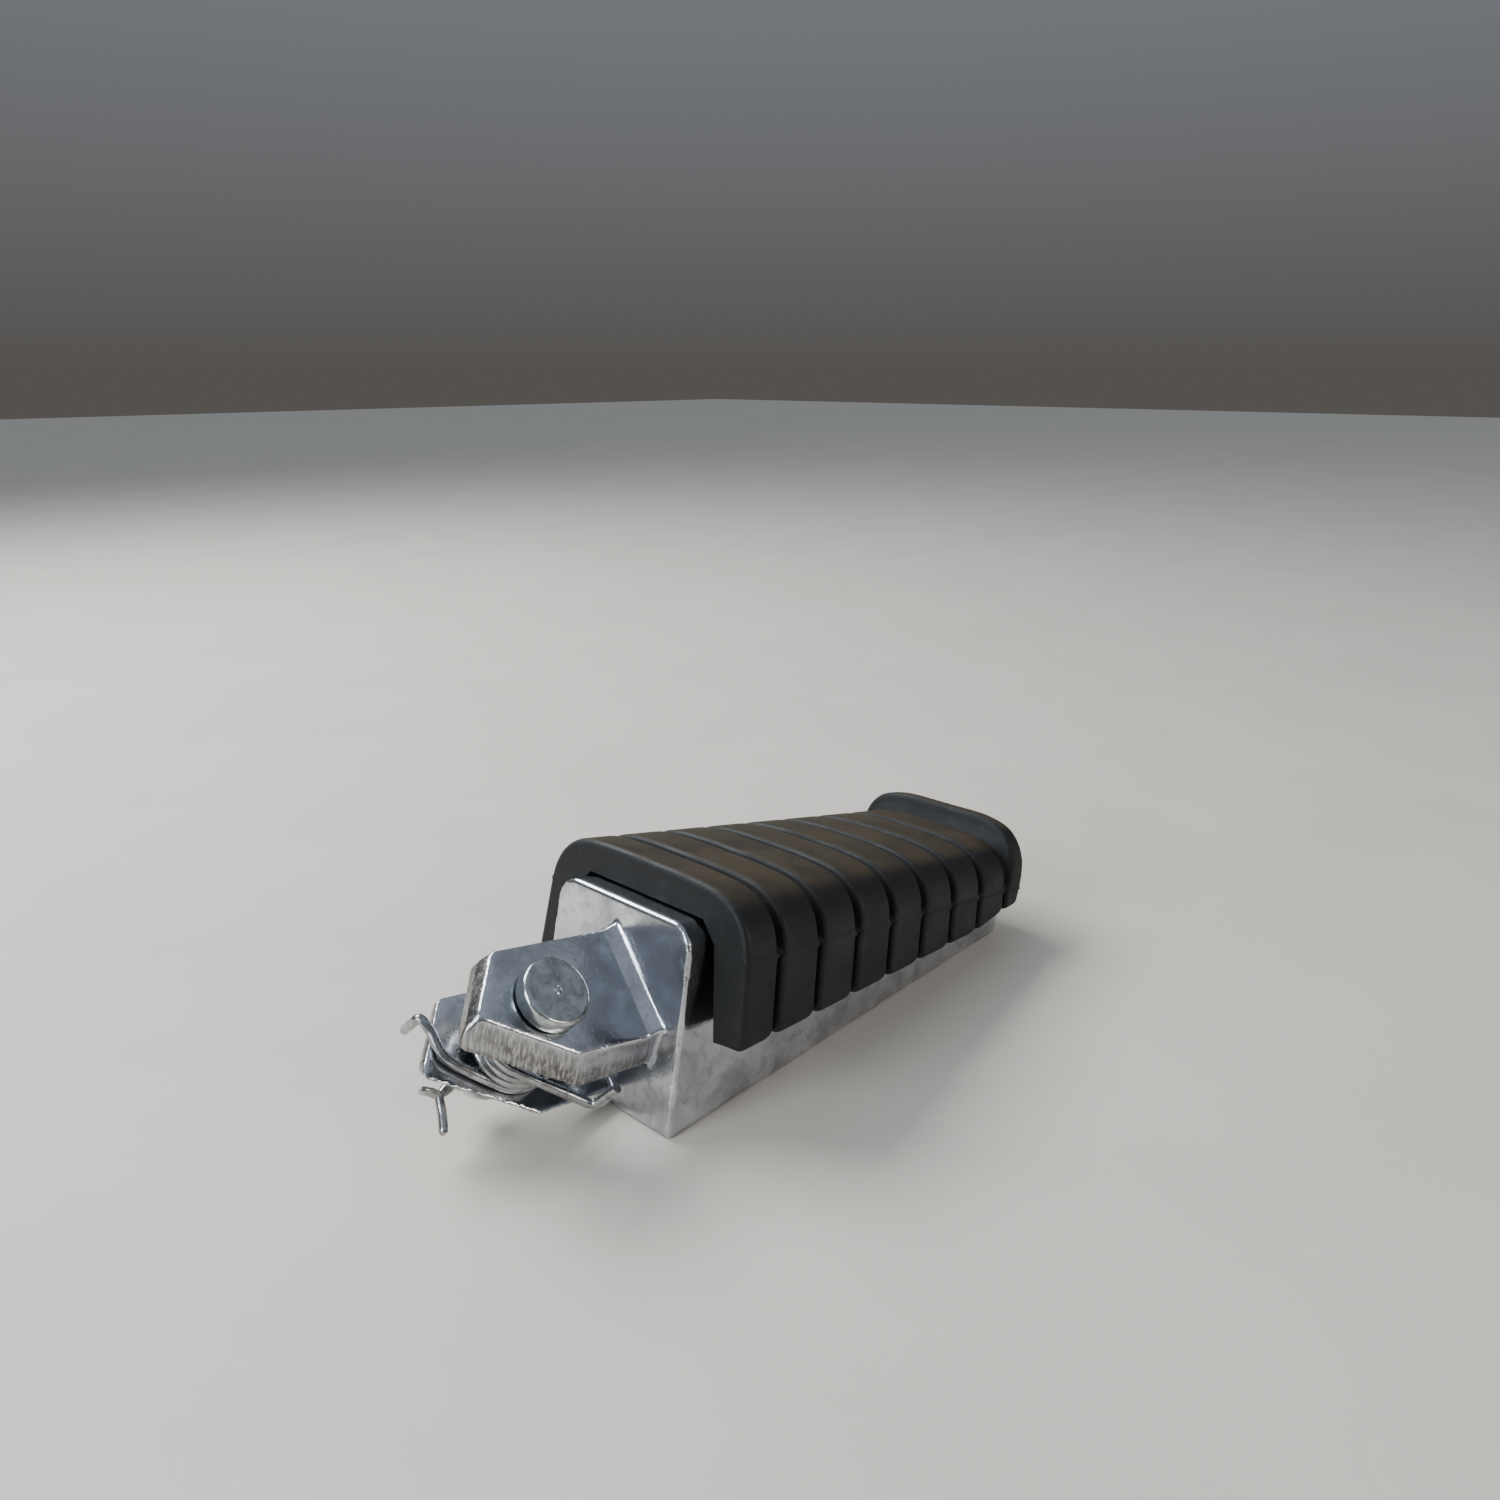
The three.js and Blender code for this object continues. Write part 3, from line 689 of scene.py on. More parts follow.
# ------------------------------------------------------------------------- casting
@dataclass
class Casting:
    """The bar, stop plate and ears, with the soft edges of a polished casting."""

    grain: float = 0.00028
    rounds: int = 18
    pull: float = 0.5
    sharp: float = 179.0

    def build(self, finishes: Finishes) -> None:
        """Makes the casting from its CAD solid.

        Args:
            finishes: every finish, made once.
        """
        thing = frame["nodes"]["peg_bar"].copy()
        thing.data = thing.data.copy()
        for key in list(thing.keys()):
            del thing[key]
        thing.parent = None
        bpy.context.scene.collection.objects.link(thing)
        remesh = thing.modifiers.new("remesh", "REMESH")
        remesh.mode = "VOXEL"
        remesh.voxel_size = self.grain
        smooth = thing.modifiers.new("smooth", "SMOOTH")
        smooth.factor = self.pull
        smooth.iterations = self.rounds
        bar = applied(thing, "cast_peg_bar")
        tidy(bar, self.sharp)
        finishes.dress(bar, Slot.CASTING, Body.PEG, "peg_bar")


# ----------------------------------------------------------------------- tread pad
def rounded_slot(gap: np.ndarray, half: float, depth: float, lip: float) -> np.ndarray:
    """Depth of a slot with rounded lips at a distance from its middle.

    Args:
        gap: distances from the slot's middle.
        half: half the slot's width.
        depth: full depth.
        lip: radius of its lips.

    Returns:
        The depth at each distance.
    """
    edge = np.clip(gap - half, 0, lip)
    lips = lip - np.sqrt(np.maximum(lip ** 2 - (lip - edge) ** 2, 0))
    floor = depth - 0.5 * (half - np.sqrt(np.maximum(half ** 2 - np.minimum(gap, half) ** 2, 0)))
    return np.where(gap <= half, floor, np.minimum(lips, depth))


def even(points: Sequence[Point], count: int) -> np.ndarray:
    """Samples a smooth curve through points at even distances.

    Args:
        points: (across, up) places to pass through, in mm.
        count: number of samples.

    Returns:
        The samples.
    """
    curve = smooth_path([(y, z, 0) for y, z in points], 0.2)[:, :2]
    run = np.concatenate([[0], np.cumsum(np.linalg.norm(np.diff(curve, axis=0), axis=1))])
    at = np.linspace(0, run[-1], count)
    return np.stack([np.interp(at, run, curve[:, 0]), np.interp(at, run, curve[:, 1])], 1)


@dataclass
class TreadPad:
    """The moulded rubber pad, skinned from sections along its length."""

    start: float = 4.4
    end: float = 91.4
    crease: float = 30.0
    root: tuple[Point, ...] = (
        (23.5, 30), (22.9, 32.6), (21.3, 35.5), (18.8, 37.6), (15.4, 38.8), (8, 39.35), (0, 39.4))
    tip: tuple[Point, ...] = (
        (18.9, 30), (18.7, 32.8), (17.6, 35.5), (15.4, 37.9), (11.5, 39.3), (6, 39.9), (0, 40))
    flange: tuple[Point, ...] = (
        (19.4, 30), (19.4, 32.7), (18.9, 36.2), (17.5, 39.5), (15.0, 41.9), (10.3, 43.2), (0, 43.4))
    foot: tuple[float, float] = (24.6, 19.2)
    hem: tuple[Point, ...] = ((4.4, 16.0), (76.0, 23.1), (85.6, 25.5), (91.4, 26.3))
    room_foot: tuple[float, float] = (19.8, 17.2)
    room_knee: tuple[float, float] = (16.3, 15.6)
    ceiling: float = 33.8
    first: float = 12.5
    pitch: float = 10.44
    count: int = 8
    round_end: float = 1.2
    carrier: tuple[float, float, float] = (18.9, 79.3, 9.3)
    carrier_top: float = 36.1
    studs: tuple[float, float] = (28.2, 70.0)
    stud_top: float = 37.6
    stud_room: float = 5.5
    shoulder_points: int = 56
    skirt_points: int = 20
    groove: tuple[float, float, float] = (0.8, 2.0, 1.05)
    last_groove_depth: float = 1.4
    skirt_slot: tuple[float, float, float] = (0.52, 2.35, 1.0)
    web: tuple[float, float, float] = (0.35, 0.55, 0.5)
    flange_from: float = 85.0
    flange_run: float = 1.9
    brow_run: float = 2.6
    brow_low: float = 36.0
    brow_height: float = 7.0
    brow_drop: float = 1.9
    brow_pull: float = 0.45
    scallop: tuple[float, float] = (0.9, 2.4)
    hem_curl: float = 1.5
    crease_ridge: tuple[float, float] = (0.22, 0.28)
    room_base: float = 10.0
    room_top: float = 30.6
    round_share: float = 0.8
    close: tuple[float, ...] = (
        0, 0.12, 0.25, 0.38, 0.46, 0.5, 0.56, 0.66, 0.7, 0.76, 0.86, 1.0, 1.15, 1.35, 1.6, 2.0, 2.6)
    step: float = 0.7
    margins: tuple[float, float] = (1.4, 1.3)
    closest: float = 0.035

    @property
    def length(self) -> float:
        """Length of the pad."""
        return self.end - self.start

    @property
    def grooves(self) -> np.ndarray:
        """Middles of the cross grooves."""
        return self.first + self.pitch * np.arange(self.count)

    def stations(self) -> np.ndarray:
        """Chooses where a section is drawn, closest together at the grooves and ends.

        Returns:
            Places along the pad, in mm.
        """
        spots = [g + side * c for g in self.grooves for c in self.close for side in (-1, 1)]
        spots += list(np.arange(self.start + self.margins[0], self.end - self.margins[1], self.step))
        rim = [self.round_end * (1 - math.cos(a)) for a in np.linspace(0, math.pi / 2, 8)]
        spots += [self.start + r for r in rim] + [self.end - r for r in rim]
        xs = np.array(sorted(x for x in spots if self.start <= x <= self.end))
        keep = np.concatenate([[True], np.diff(xs) > self.closest])
        keep[-1] = True
        return xs[keep]

    def outer_half(self, x: float, shapes: dict[str, np.ndarray]) -> tuple[np.ndarray, float]:
        """Half of the outside at a station, from the hem to the crown.

        Args:
            x: place along the pad.
            shapes: the three sampled shoulder curves.

        Returns:
            The points, and the height of the hem.
        """
        t = np.clip((x - self.start) / self.length, 0, 1)
        lift = np.clip((x - self.flange_from) / self.flange_run, 0, 1)
        lift = lift * lift * (3 - 2 * lift)
        shoulder = (1 - t) * shapes["root"] + t * shapes["tip"]
        shoulder = (1 - lift) * shoulder + lift * shapes["flange"]
        brow = np.clip((x - (self.end - self.brow_run)) / self.brow_run, 0, 1)
        above = np.clip((shoulder[:, 1] - self.brow_low) / self.brow_height, 0, 1)[:, None]
        drop = self.brow_drop * (1 - math.sqrt(max(1 - brow ** 2, 0)))
        shoulder = shoulder - drop * above * [self.brow_pull, 1.0]
        hem = float(np.interp(x, *zip(*self.hem)))
        nearest = float(np.min(np.abs(self.grooves - x)))
        rise, reach = self.scallop
        hem += rise * max(0.0, 1 - nearest / reach) ** 2
        low = self.foot[0] + (self.foot[1] - self.foot[0]) * t
        curl = self.hem_curl
        arc = [(low - curl + curl * math.sin(a), hem + curl - curl * math.cos(a))
               for a in np.linspace(0, math.pi / 2, 7)]
        share = np.linspace(0, 1, self.skirt_points)[1:-1, None]
        wall = (1 - share) * np.array(arc[-1]) + share * shoulder[0]
        proud, spread = self.crease_ridge
        ridge = proud * np.exp(-((shoulder[:, 1] - self.crease) / spread) ** 2)
        shoulder = shoulder + np.stack([ridge, np.zeros_like(ridge)], 1)
        return np.vstack([arc, wall, shoulder]), hem

    def inner_half(self, x: float, hem: float) -> np.ndarray:
        """Half of the inside at a station, from the hem to the middle of the ceiling.

        Args:
            x: place along the pad.
            hem: height of the hem there.

        Returns:
            The points.
        """
        t = np.clip((x - self.start) / self.length, 0, 1)
        top = self.room_top
        foot = self.room_foot[0] + (self.room_foot[1] - self.room_foot[0]) * t
        knee = self.room_knee[0] + (self.room_knee[1] - self.room_knee[0]) * t
        low = foot + (knee - foot) * (hem - self.room_base) / (top - self.room_base)
        wall = [(low + (knee - low) * s, hem + (top - hem) * s) for s in np.linspace(0, 1, 10)]
        slope = [(knee - 3 * s, top + (self.ceiling - top) * s) for s in np.linspace(0.2, 1, 5)]
        roof = []
        spots = list(np.linspace(knee - 3.6, self.carrier[2] + 0.05, 4))
        spots += list(np.linspace(self.carrier[2], 0, 22))
        for y in spots:
            z = self.ceiling
            if self.carrier[0] <= x <= self.carrier[1] and y <= self.carrier[2]:
                z = self.carrier_top
                if min(math.hypot(x - s, y) for s in self.studs) < self.stud_room:
                    z = self.stud_top
            roof.append((y, z))
        return np.array(wall + slope + roof)

    def cut(self, x: float, half: np.ndarray) -> np.ndarray:
        """Sinks the grooves and slots into half of the outside.

        Args:
            x: place along the pad.
            half: points from the hem to the crown.

        Returns:
            The points, moved inwards where something is cut.
        """
        out = np.gradient(half, axis=0)
        normal = np.stack([out[:, 1], -out[:, 0]], 1)
        normal /= np.linalg.norm(normal, axis=1, keepdims=True)
        gaps = np.abs(self.grooves - x)
        gap = float(gaps.min())
        last = int(gaps.argmin()) == self.count - 1
        z = half[:, 1]
        away = np.full(len(z), gap)
        width, full_depth, lip = self.groove
        groove = rounded_slot(away, width, self.last_groove_depth if last else full_depth, lip)
        slot = rounded_slot(away, *self.skirt_slot)
        web = rounded_slot(away, *self.web)
        upper = np.clip((z - self.crease - 0.35) / 0.8, 0, 1)
        lower = np.clip((self.crease - 0.25 - z) / 0.3, 0, 1)
        depth = np.maximum(web, np.maximum(groove * upper, slot * lower))
        start_arc = np.clip(np.arange(len(z)) / 4.0, 0, 1)
        return half - normal * (depth * start_arc)[:, None]

    def ring(self, x: float, shapes: dict[str, np.ndarray]) -> np.ndarray:
        """Draws the whole closed section at a station.

        Args:
            x: place along the pad.
            shapes: the three sampled shoulder curves.

        Returns:
            The points, in the peg's frame.
        """
        half, hem = self.outer_half(x, shapes)
        half = self.cut(x, half)
        inner = self.inner_half(x, hem)
        mirror = np.array([-1.0, 1.0])
        ring = np.vstack([half * mirror, half[::-1][1:], inner, (inner * mirror)[::-1][1:]])
        edge = min(x - self.start, self.end - x)
        if edge < self.round_end:
            inset = self.round_end - math.sqrt(max(self.round_end ** 2 - (self.round_end - edge) ** 2, 0))
            step = np.roll(ring, -1, axis=0) - np.roll(ring, 1, axis=0)
            normal = np.stack([-step[:, 1], step[:, 0]], 1)
            normal /= np.maximum(np.linalg.norm(normal, axis=1, keepdims=True), 1e-9)
            normal[2 * len(half) - 1:] = 0.0
            ring = ring - normal * inset * self.round_share
        return np.column_stack([np.full(len(ring), x), ring])

    def build(self, finishes: Finishes) -> None:
        """Makes the pad.

        Args:
            finishes: every finish, made once.
        """
        shapes = {k: even(getattr(self, k), self.shoulder_points) for k in ("root", "tip", "flange")}
        rings = np.array([self.ring(x, shapes) for x in self.stations()])
        pad = loft("tread_pad", SPACE.row(rings), sharp=55)
        finishes.dress(pad, Slot.RUBBER, Body.PEG, "rubber_pad")


# -------------------------------------------------------------------- hinge pieces
def chamfered(bore: float, rim: float, low: float, high: float, edge: float) -> list[Point]:
    """Outline of a flat ring whose four edges are broken.

    Args:
        bore: inner radius.
        rim: outer radius.
        low: height of the underside.
        high: height of the top.
        edge: size of the broken edges.

    Returns:
        Points of (radius, height), right round.
    """
    return [(bore, low + edge), (bore + edge, low), (rim - edge, low), (rim, low + edge),
            (rim, high - edge), (rim - edge, high), (bore + edge, high), (bore, high - edge)]


@dataclass
class HingePin:
    """The clevis pin, its washer and the split pin through its tail."""

    radius: float = 3.5
    head_radius: float = 5.4
    seat: float = 7.5
    head: float = 3.1
    tail: float = -18.8
    washer: tuple[float, float, float, float] = (3.8, 6.6, -13.3, -12.1)
    cotter_n: float = -14.7
    cotter_radius: float = 0.95
    cotter_half: float = 0.08
    cotter_turn: float = math.radians(204.0)
    cotter_exit: float = 7.8
    spread: float = math.radians(50.0)
    legs: tuple[float, float] = (3.4, 6.2)
    eye: float = 1.75
    washer_edge: float = 0.22
    turning_marks: tuple[float, float, float] = (4.3, 0.9, -0.28)

    def pin(self, finishes: Finishes) -> None:
        """Makes the pin, with a turned face and a cross hole.

        Args:
            finishes: every finish, made once.
        """
        top = self.seat + self.head
        r = self.head_radius
        profile: list[Point] = [(0.001, self.tail), (self.radius - 1.0, self.tail)]
        profile += [(self.radius - 1 + math.sin(a), self.tail + 1 - math.cos(a))
                    for a in np.linspace(0.2, 1.57, 6)]
        profile += [(self.radius, self.tail + 3), (self.radius, self.seat - 0.3)]
        profile.append((self.radius + 0.3, self.seat))
        e = 0.7
        profile += [(r - 0.5, self.seat), (r - 0.15, self.seat + 0.12), (r, self.seat + 0.5), (r, top - e)]
        profile += [(r - e + e * math.cos(a), top - e + e * math.sin(a))
                    for a in np.linspace(0.15, math.pi / 2, 9)]
        for ring in np.arange(*self.turning_marks):
            profile += [(ring, top - 0.01), (ring - 0.1, top - 0.03), (ring - 0.18, top - 0.026)]
        profile += [(0.62, top - 0.09), (0.45, top - 0.02), (0.25, top + 0.02), (0.001, top + 0.03)]
        pin = revolve("turned_clevis_pin", profile, SPACE.clevis, 96, sharp=38)
        hole = self.cotter_radius + 0.3
        bit = revolve("bit", [(hole, -6), (hole, 6)], self.across, 32)
        cut = pin.modifiers.new("cut", "BOOLEAN")
        cut.object = bit
        cut.operation = "DIFFERENCE"
        cut.solver = "EXACT"
        pin = applied(pin, "turned_clevis_pin")
        bpy.data.objects.remove(bit)
        tidy(pin, 38)
        finishes.dress(pin, Slot.ZINC, Body.PIN, "clevis_pin")

    def across(self, points: np.ndarray) -> np.ndarray:
        """Takes points of the cross hole's frame to the row frame.

        Args:
            points: places in mm, with z along the hole.

        Returns:
            The places in the row frame, in metres.
        """
        c, s = math.cos(self.cotter_turn), math.sin(self.cotter_turn)
        x, y, z = points[..., 0], points[..., 1], points[..., 2]
        return SPACE.clevis(np.stack([z * c - x * s, z * s + x * c, y + self.cotter_n], -1))

    def flat(self, points: np.ndarray) -> np.ndarray:
        """Takes points of the split pin's own plane to the row frame.

        Args:
            points: places in mm, with x out through the hole.

        Returns:
            The places in the row frame, in metres.
        """
        c, s = math.cos(self.cotter_turn), math.sin(self.cotter_turn)
        x, y, z = points[..., 0], points[..., 1], points[..., 2]
        return SPACE.clevis(np.stack([x * c - y * s, x * s + y * c, z + self.cotter_n], -1))

    def split_pin(self, finishes: Finishes) -> None:
        """Makes the half-round wire, doubled through its eye.

        Args:
            finishes: every finish, made once.
        """
        half, out = self.cotter_half, self.cotter_exit
        c, s = math.cos(self.spread), math.sin(self.spread)

        def leg(side: int, length: float) -> list[Point]:
            """Draws a bent leg.

            Args:
                side: -1 or 1, for the side it lies on.
                length: length of its bent end.

            Returns:
                Points from its end to the pin.
            """
            return [(out + length * c, side * (half + length * s)),
                    (out + 0.5 * length * c, side * (half + 0.5 * length * s)),
                    (out + 0.5, side * (half + 0.35)), (out - 0.6, side * half)]

        centre = -(self.radius + self.eye + 1.6)
        points = leg(-1, self.legs[0]) + [(0, -half), (-self.radius, -half)]
        points += [(centre + self.eye * math.cos(a), -self.eye * math.sin(a))
                   for a in np.radians(np.arange(50, 311, 20))]
        points += [(-self.radius, half), (0, half)] + leg(1, self.legs[1])[::-1]
        path = smooth_path([(x, y, 0) for x, y in points], 0.25)
        angle = np.linspace(-math.pi / 2, math.pi / 2, 13)
        section = np.stack([np.cos(angle), np.sin(angle)], 1) * self.cotter_radius
        section = np.vstack([section, [[0.0, 0.0]]]) * [-1, 1]
        wire = sweep("split_pin_wire", path, section, self.flat, (0.72, 0.93), side=(0, 0, 1), sharp=50)
        finishes.dress(wire, Slot.BRIGHT, Body.PIN, "split_pin")

    def ring(self, finishes: Finishes) -> None:
        """Makes the washer.

        Args:
            finishes: every finish, made once.
        """
        profile = chamfered(*self.washer, self.washer_edge)
        washer = revolve("pressed_pin_washer", profile, SPACE.clevis, 72, loop=True, sharp=30)
        finishes.dress(washer, Slot.ZINC, Body.WASHER, "pin_washer")

    def build(self, finishes: Finishes) -> None:
        """Makes the three pieces.

        Args:
            finishes: every finish, made once.
        """
        self.pin(finishes)
        self.ring(finishes)
        self.split_pin(finishes)


@dataclass
class ReturnSpring:
    """The torsion spring round the pin."""

    wire: float = 0.76
    coil: float = 6.45
    rest: tuple[float, float] = (1.196, -1.477)
    rise: float = 1.6
    turns: int = 3
    bottom: float = -6.6
    stop: tuple[float, float, float] = (7.8, -14.6, 6.4)
    free: tuple[float, float, float] = (-9.4, -0.8, 4.6)
    bend: tuple[Point, ...] = ((-10.2, 1.4), (-10.5, 3.9), (-11.1, 6.4))
    hook: float = 1.4
    hook_curve: tuple[Point, ...] = (
        (1.5, 0.0), (0.95, 0.12), (0.45, 0.42), (0.12, 0.92), (0.0, 1.5), (0.0, 3.4))
    turn_points: int = 36

    def touch(self, x: float, u: float, side: int) -> float:
        """Angle at which a line from a point outside the coil touches it."""
        across, out = u - self.rest[1], x - self.rest[0]
        return math.atan2(across, out) + side * math.acos(self.coil / math.hypot(out, across))

    def path(self) -> np.ndarray:
        """Draws the middle of the wire from the free hook to the stop hook.

        Returns:
            Points of the clevis frame, in mm.
        """
        start = self.touch(self.free[0], self.free[1], 1)
        end = self.touch(self.stop[0], self.stop[1], -1)
        sweep_angle = 2 * math.pi * self.turns + (end - start + 4 * math.pi) % (2 * math.pi)
        top = self.bottom + self.rise * sweep_angle / (2 * math.pi)
        tip_x, tip_u = self.bend[-1]
        points: list[tuple[float, float, float]] = [
            (tip_x - 0.6, tip_u, self.bottom - self.free[2]),
            (tip_x - 0.4, tip_u, self.bottom - self.hook - 0.4),
            (tip_x - 0.2, tip_u - 0.2, self.bottom - 0.3)]
        points += [(x, u, self.bottom) for x, u in self.bend[-2::-1]]
        points.append((self.free[0], self.free[1], self.bottom))
        count = round(self.turn_points * sweep_angle / (2 * math.pi))
        for i in range(count + 1):
            a = start + sweep_angle * i / count
            n = self.bottom + (top - self.bottom) * i / count
            points.append((self.rest[0] + self.coil * math.cos(a), self.rest[1] + self.coil * math.sin(a), n))
        last = np.array(points[-1][:2])
        to = np.array(self.stop[:2])
        run = (to - last) / np.linalg.norm(to - last)
        for share in (0.3, 0.6, 0.8):
            spot = last + (to - last) * share
            points.append((spot[0], spot[1], top))
        for back, rise in self.hook_curve:
            spot = to - back * run
            points.append((spot[0], spot[1], top + rise))
        points.append((to[0], to[1], top + self.stop[2]))
        return smooth_path(points, 0.4)

    def build(self, finishes: Finishes) -> None:
        """Makes the wire.

        Args:
            finishes: every finish, made once.
        """
        angle = np.linspace(0, 2 * math.pi, 16, endpoint=False)
        section = np.stack([np.cos(angle), np.sin(angle)], 1) * self.wire
        spring = sweep("return_spring_wire", self.path(), section, SPACE.clevis, (0.86, 1.0), sharp=50)
        finishes.dress(spring, Slot.SPRING, Body.SPRING, "return_spring")


# ------------------------------------------------------------------------ fixings
@dataclass
class PadFixings:
    """The studs that hold the pad down, and what is on them under the bar."""

    places: tuple[tuple[str, float], ...] = (("inner", 28.2), ("outer", 70.0))
    seat: float = 36.1
    head: tuple[float, float] = (5.2, 1.2)
    shank: float = 3.0
    thread: float = 1.0
    flat: tuple[float, float] = (28.0, 29.2)
    spring: tuple[float, float] = (26.1, 27.7)
    nut: tuple[float, float] = (20.8, 25.8)
    end: float = 19.6
    bore: float = 3.3
    flat_rim: float = 6.2
    spring_rim: float = 5.4
    washer_edge: float = 0.2
    split: float = 0.13
    thread_top: float = 28.0
    thread_step: float = 0.125
    thread_depth: float = 0.5
    nut_half: float = 5.0

    def at(self, x: float) -> Callable[[np.ndarray], np.ndarray]:
        """Takes points about a stud's axis to the row frame."""
        return lambda p: SPACE.row(p + np.array([x, 0.0, 0.0]))

    def stud(self, where: str, x: float, finishes: Finishes) -> None:
        """Makes a stud with a rolled thread.

        Args:
            where: which set it is in, inner or outer.
            x: the place of the stud along the bar, in mm.
            finishes: every finish, made once.
        """
        def threaded(r: float, angle: np.ndarray, z: float) -> np.ndarray:
            """Winds the thread round the shank.

            Args:
                r: radius of the profile.
                angle: angles round the axis.
                z: height.

            Returns:
                The radius at each angle.
            """
            if abs(r - self.shank) > 1e-6 or z > self.thread_top:
                return np.full(len(angle), float(r))
            wave = (z / self.thread + angle / (2 * math.pi)) % 1.0
            return r - self.thread_depth * np.abs(wave - 0.5)

        profile: list[Point] = [(0.01, self.end), (self.shank - 0.7, self.end)]
        profile += [(self.shank, z) for z in np.arange(self.end + 0.4, self.thread_top + 0.2, self.thread_step)]
        profile += [(self.shank + 0.001, self.seat)]
        r, h = self.head
        top = self.seat + h
        profile += [(r - 0.2, self.seat), (r, self.seat + 0.2), (r, top - 0.4), (r - 0.4, top), (0.01, top)]
        stud = revolve(f"{where}_pad_stud", profile, self.at(x), 40, radius=threaded, sharp=45)
        finishes.dress(stud, Slot.ZINC, Body.PEG, f"{where}_stud")

    def washers(self, where: str, x: float, finishes: Finishes) -> None:
        """Makes the flat washer and the spring washer.

        Args:
            where: which set it is in, inner or outer.
            x: the place of the stud along the bar, in mm.
            finishes: every finish, made once.
        """
        profile = chamfered(self.bore, self.flat_rim, *self.flat, self.washer_edge)
        flat = revolve(f"{where}_plain_washer", profile, self.at(x), 56, loop=True, sharp=30)
        finishes.dress(flat, Slot.ZINC, Body.PEG, f"{where}_flat_washer")
        angle = np.linspace(self.split, 2 * math.pi - self.split, 60)
        corners = chamfered(self.bore, self.spring_rim, *self.spring, self.washer_edge)
        rings = np.array([[(r * math.cos(a), r * math.sin(a), z) for r, z in corners] for a in angle])
        split = loft(f"{where}_split_washer", self.at(x)(rings), sharp=30)
        finishes.dress(split, Slot.SPRING, Body.PEG, f"{where}_spring_washer")

    def hexagon(self, where: str, x: float, finishes: Finishes) -> None:
        """Makes a chamfered hexagon nut.

        Args:
            where: which set it is in, inner or outer.
            x: the place of the stud along the bar, in mm.
            finishes: every finish, made once.
        """
        low, high = self.nut
        reach = self.nut_half / math.cos(math.pi / 6)

        def six_sided(r: float, angle: np.ndarray, z: float) -> np.ndarray:
            """Shapes the hexagon, trimmed by the chamfer cone.

            Args:
                r: radius of the profile.
                angle: angles round the axis.
                z: height.

            Returns:
                The radius at each angle.
            """
            if r <= self.bore + 0.5:
                return np.full(len(angle), float(r))
            face = self.nut_half / np.cos((angle + math.pi / 6) % (math.pi / 3) - math.pi / 6)
            cone = reach - 0.75 + 1.7 * min(z - low, high - z)
            return np.minimum(face, cone)

        rise = (0.0, 0.12, 0.25, 0.38, 0.5)
        outer = [(reach, low + h) for h in rise] + [(reach, high - h) for h in reversed(rise)]
        inner = [(self.bore + 0.4, high), (self.bore, high - 0.4),
                 (self.bore, low + 0.4), (self.bore + 0.4, low)]
        nut = revolve(f"{where}_hex_nut", outer + inner, self.at(x), 72, loop=True,
                      radius=six_sided, sharp=28)
        finishes.dress(nut, Slot.ZINC, Body.PEG, f"{where}_nut")

    def build(self, finishes: Finishes) -> None:
        """Makes both sets, and finishes the hidden carrier.

        Args:
            finishes: every finish, made once.
        """
        for where, x in self.places:
            self.stud(where, x, finishes)
            self.washers(where, x, finishes)
            self.hexagon(where, x, finishes)
        carrier = frame["nodes"]["pad_carrier_plate"]
        carrier.data.materials.clear()
        carrier.data.materials.append(finishes.made[Slot.BLACK])


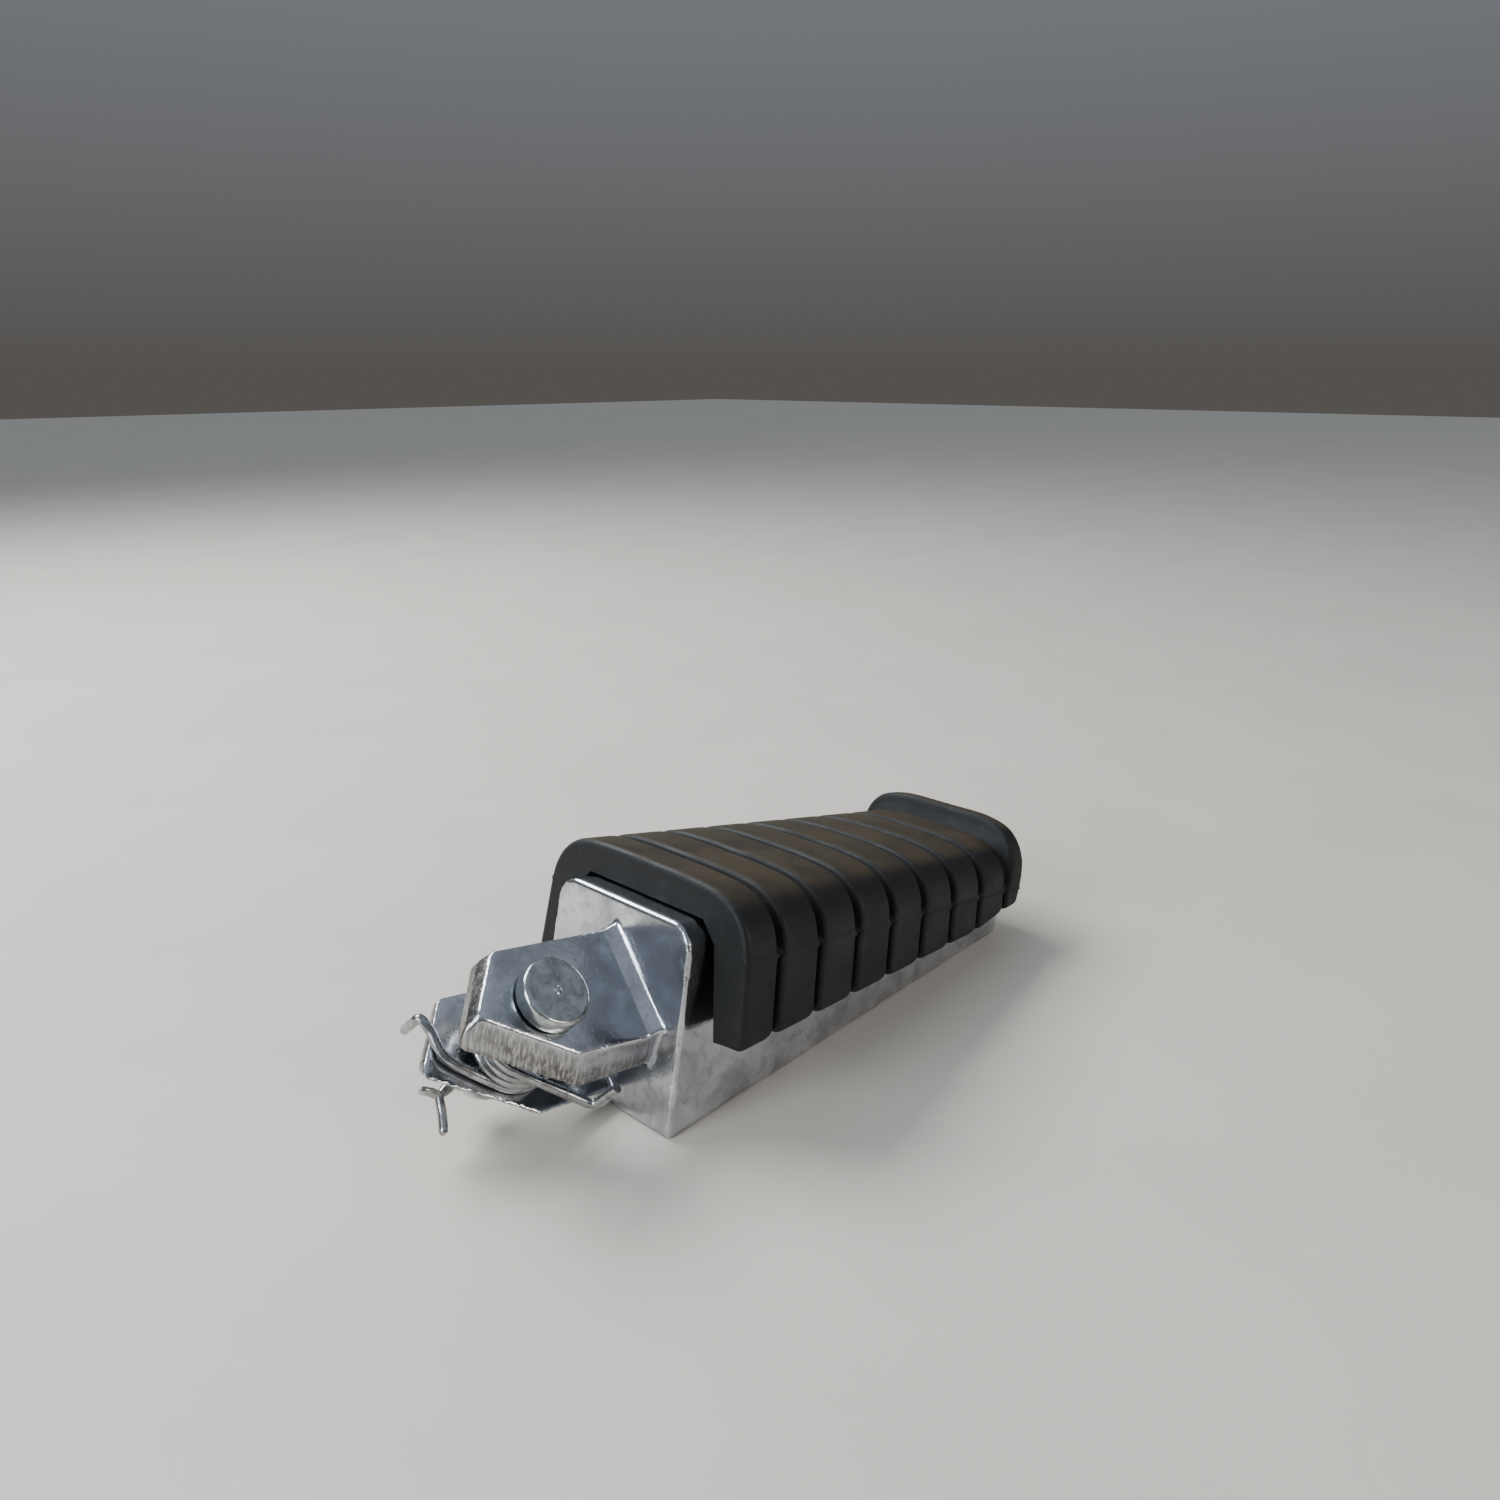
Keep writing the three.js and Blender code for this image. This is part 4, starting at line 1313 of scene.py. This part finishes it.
# -------------------------------------------------------------------------- studio
@dataclass
class Studio:
    """Pale floor, soft lights and the camera."""

    eye: tuple[float, float, float] = (-0.136353, -0.129934, 0.111778)
    right: tuple[float, float, float] = (0.674447, -0.738322, -0.001013)
    up: tuple[float, float, float] = (0.229789, 0.208605, 0.950621)
    lens: float = 28.2
    shift: float = -0.01463
    floor_tone: tuple[float, float, float] = (0.72, 0.665, 0.585)
    floor_half: float = 3.0

    def camera(self) -> None:
        """Sets the camera."""
        data = bpy.data.cameras.new("camera")
        data.lens = self.lens
        data.sensor_width = 36.0
        data.shift_x = self.shift
        data.clip_start = 0.005
        data.clip_end = 20.0
        thing = bpy.data.objects.new("camera", data)
        right, up = Vector(self.right), Vector(self.up)
        back = right.cross(up)
        basis = Matrix((right, up, back)).transposed().to_4x4()
        thing.matrix_world = Matrix.Translation(self.eye) @ basis
        bpy.context.scene.collection.objects.link(thing)
        bpy.context.scene.camera = thing

    def light(self, name: str, place: Sequence[float], size: tuple[float, float], power: float,
              tone: Sequence[float] = (1.0, 1.0, 1.0)) -> None:
        """Adds a soft rectangular light aimed at the peg.

        Args:
            name: the light's name.
            place: its position, in metres.
            size: its width and height, in metres.
            power: its power, in watts.
            tone: its colour.
        """
        data = bpy.data.lights.new(name, "AREA")
        data.shape = "RECTANGLE"
        data.size, data.size_y = size
        data.energy = power
        data.color = tuple(tone)
        thing = bpy.data.objects.new(name, data)
        aim = Vector((0.0, 0.0, 0.015)) - Vector(place)
        thing.matrix_world = Matrix.Translation(place) @ aim.to_track_quat("-Z", "Y").to_matrix().to_4x4()
        bpy.context.scene.collection.objects.link(thing)

    def surroundings(self) -> None:
        """Sets a pale room that is brighter overhead."""
        world = bpy.data.worlds.new("room")
        bpy.context.scene.world = world
        world.use_nodes = True
        tree = world.node_tree
        place = tree.nodes.new("ShaderNodeTexCoord")
        split = tree.nodes.new("ShaderNodeSeparateXYZ")
        tree.links.new(place.outputs["Generated"], split.inputs[0])
        fade = tree.nodes.new("ShaderNodeValToRGB")
        fade.color_ramp.elements[0].position = 0.0
        fade.color_ramp.elements[0].color = (0.16, 0.15, 0.14, 1.0)
        fade.color_ramp.elements[1].position = 0.75
        fade.color_ramp.elements[1].color = (0.55, 0.62, 0.72, 1.0)
        tree.links.new(split.outputs[2], fade.inputs[0])
        tree.links.new(fade.outputs[0], tree.nodes["Background"].inputs[0])
        tree.nodes["Background"].inputs[1].default_value = 0.6

    def floor(self) -> None:
        """Lays the floor."""
        half = self.floor_half
        corners = np.array([(-half, -half, 0), (half, -half, 0), (half, half, 0), (-half, half, 0)])
        ground = mesh_object("floor", corners, [(0, 1, 2, 3)])
        s = Sheet("floor_paint")
        place = s.peg_place()
        cloud = s.noise(place, 25, 4)
        tone = s.mix(s.ramp(cloud, 0.3, 0.7), self.floor_tone, tuple(0.95 * c for c in self.floor_tone))
        s.set(Base_Color=tone, Roughness=0.6)
        ground.data.materials.append(s.material)

    def build(self) -> None:
        """Sets everything up."""
        self.camera()
        self.surroundings()
        self.floor()
        self.light("window", (-0.1, 0.55, 0.6), (0.55, 0.35), 8.0, (0.93, 0.97, 1.0))
        self.light("left", (-0.7, 0.1, 0.35), (0.3, 0.45), 3.6, (0.86, 0.93, 1.0))
        self.light("near", (0.25, -0.75, 0.3), (0.35, 0.16), 1.6, (1.0, 0.92, 0.82))


def main() -> None:
    """Builds the peg and its surroundings."""
    logging.basicConfig(level=logging.INFO)
    Studio().build()
    finishes = Finishes()
    Casting().build(finishes)
    TreadPad().build(finishes)
    HingePin().build(finishes)
    ReturnSpring().build(finishes)
    PadFixings().build(finishes)


if __name__ == "__main__":
    main()
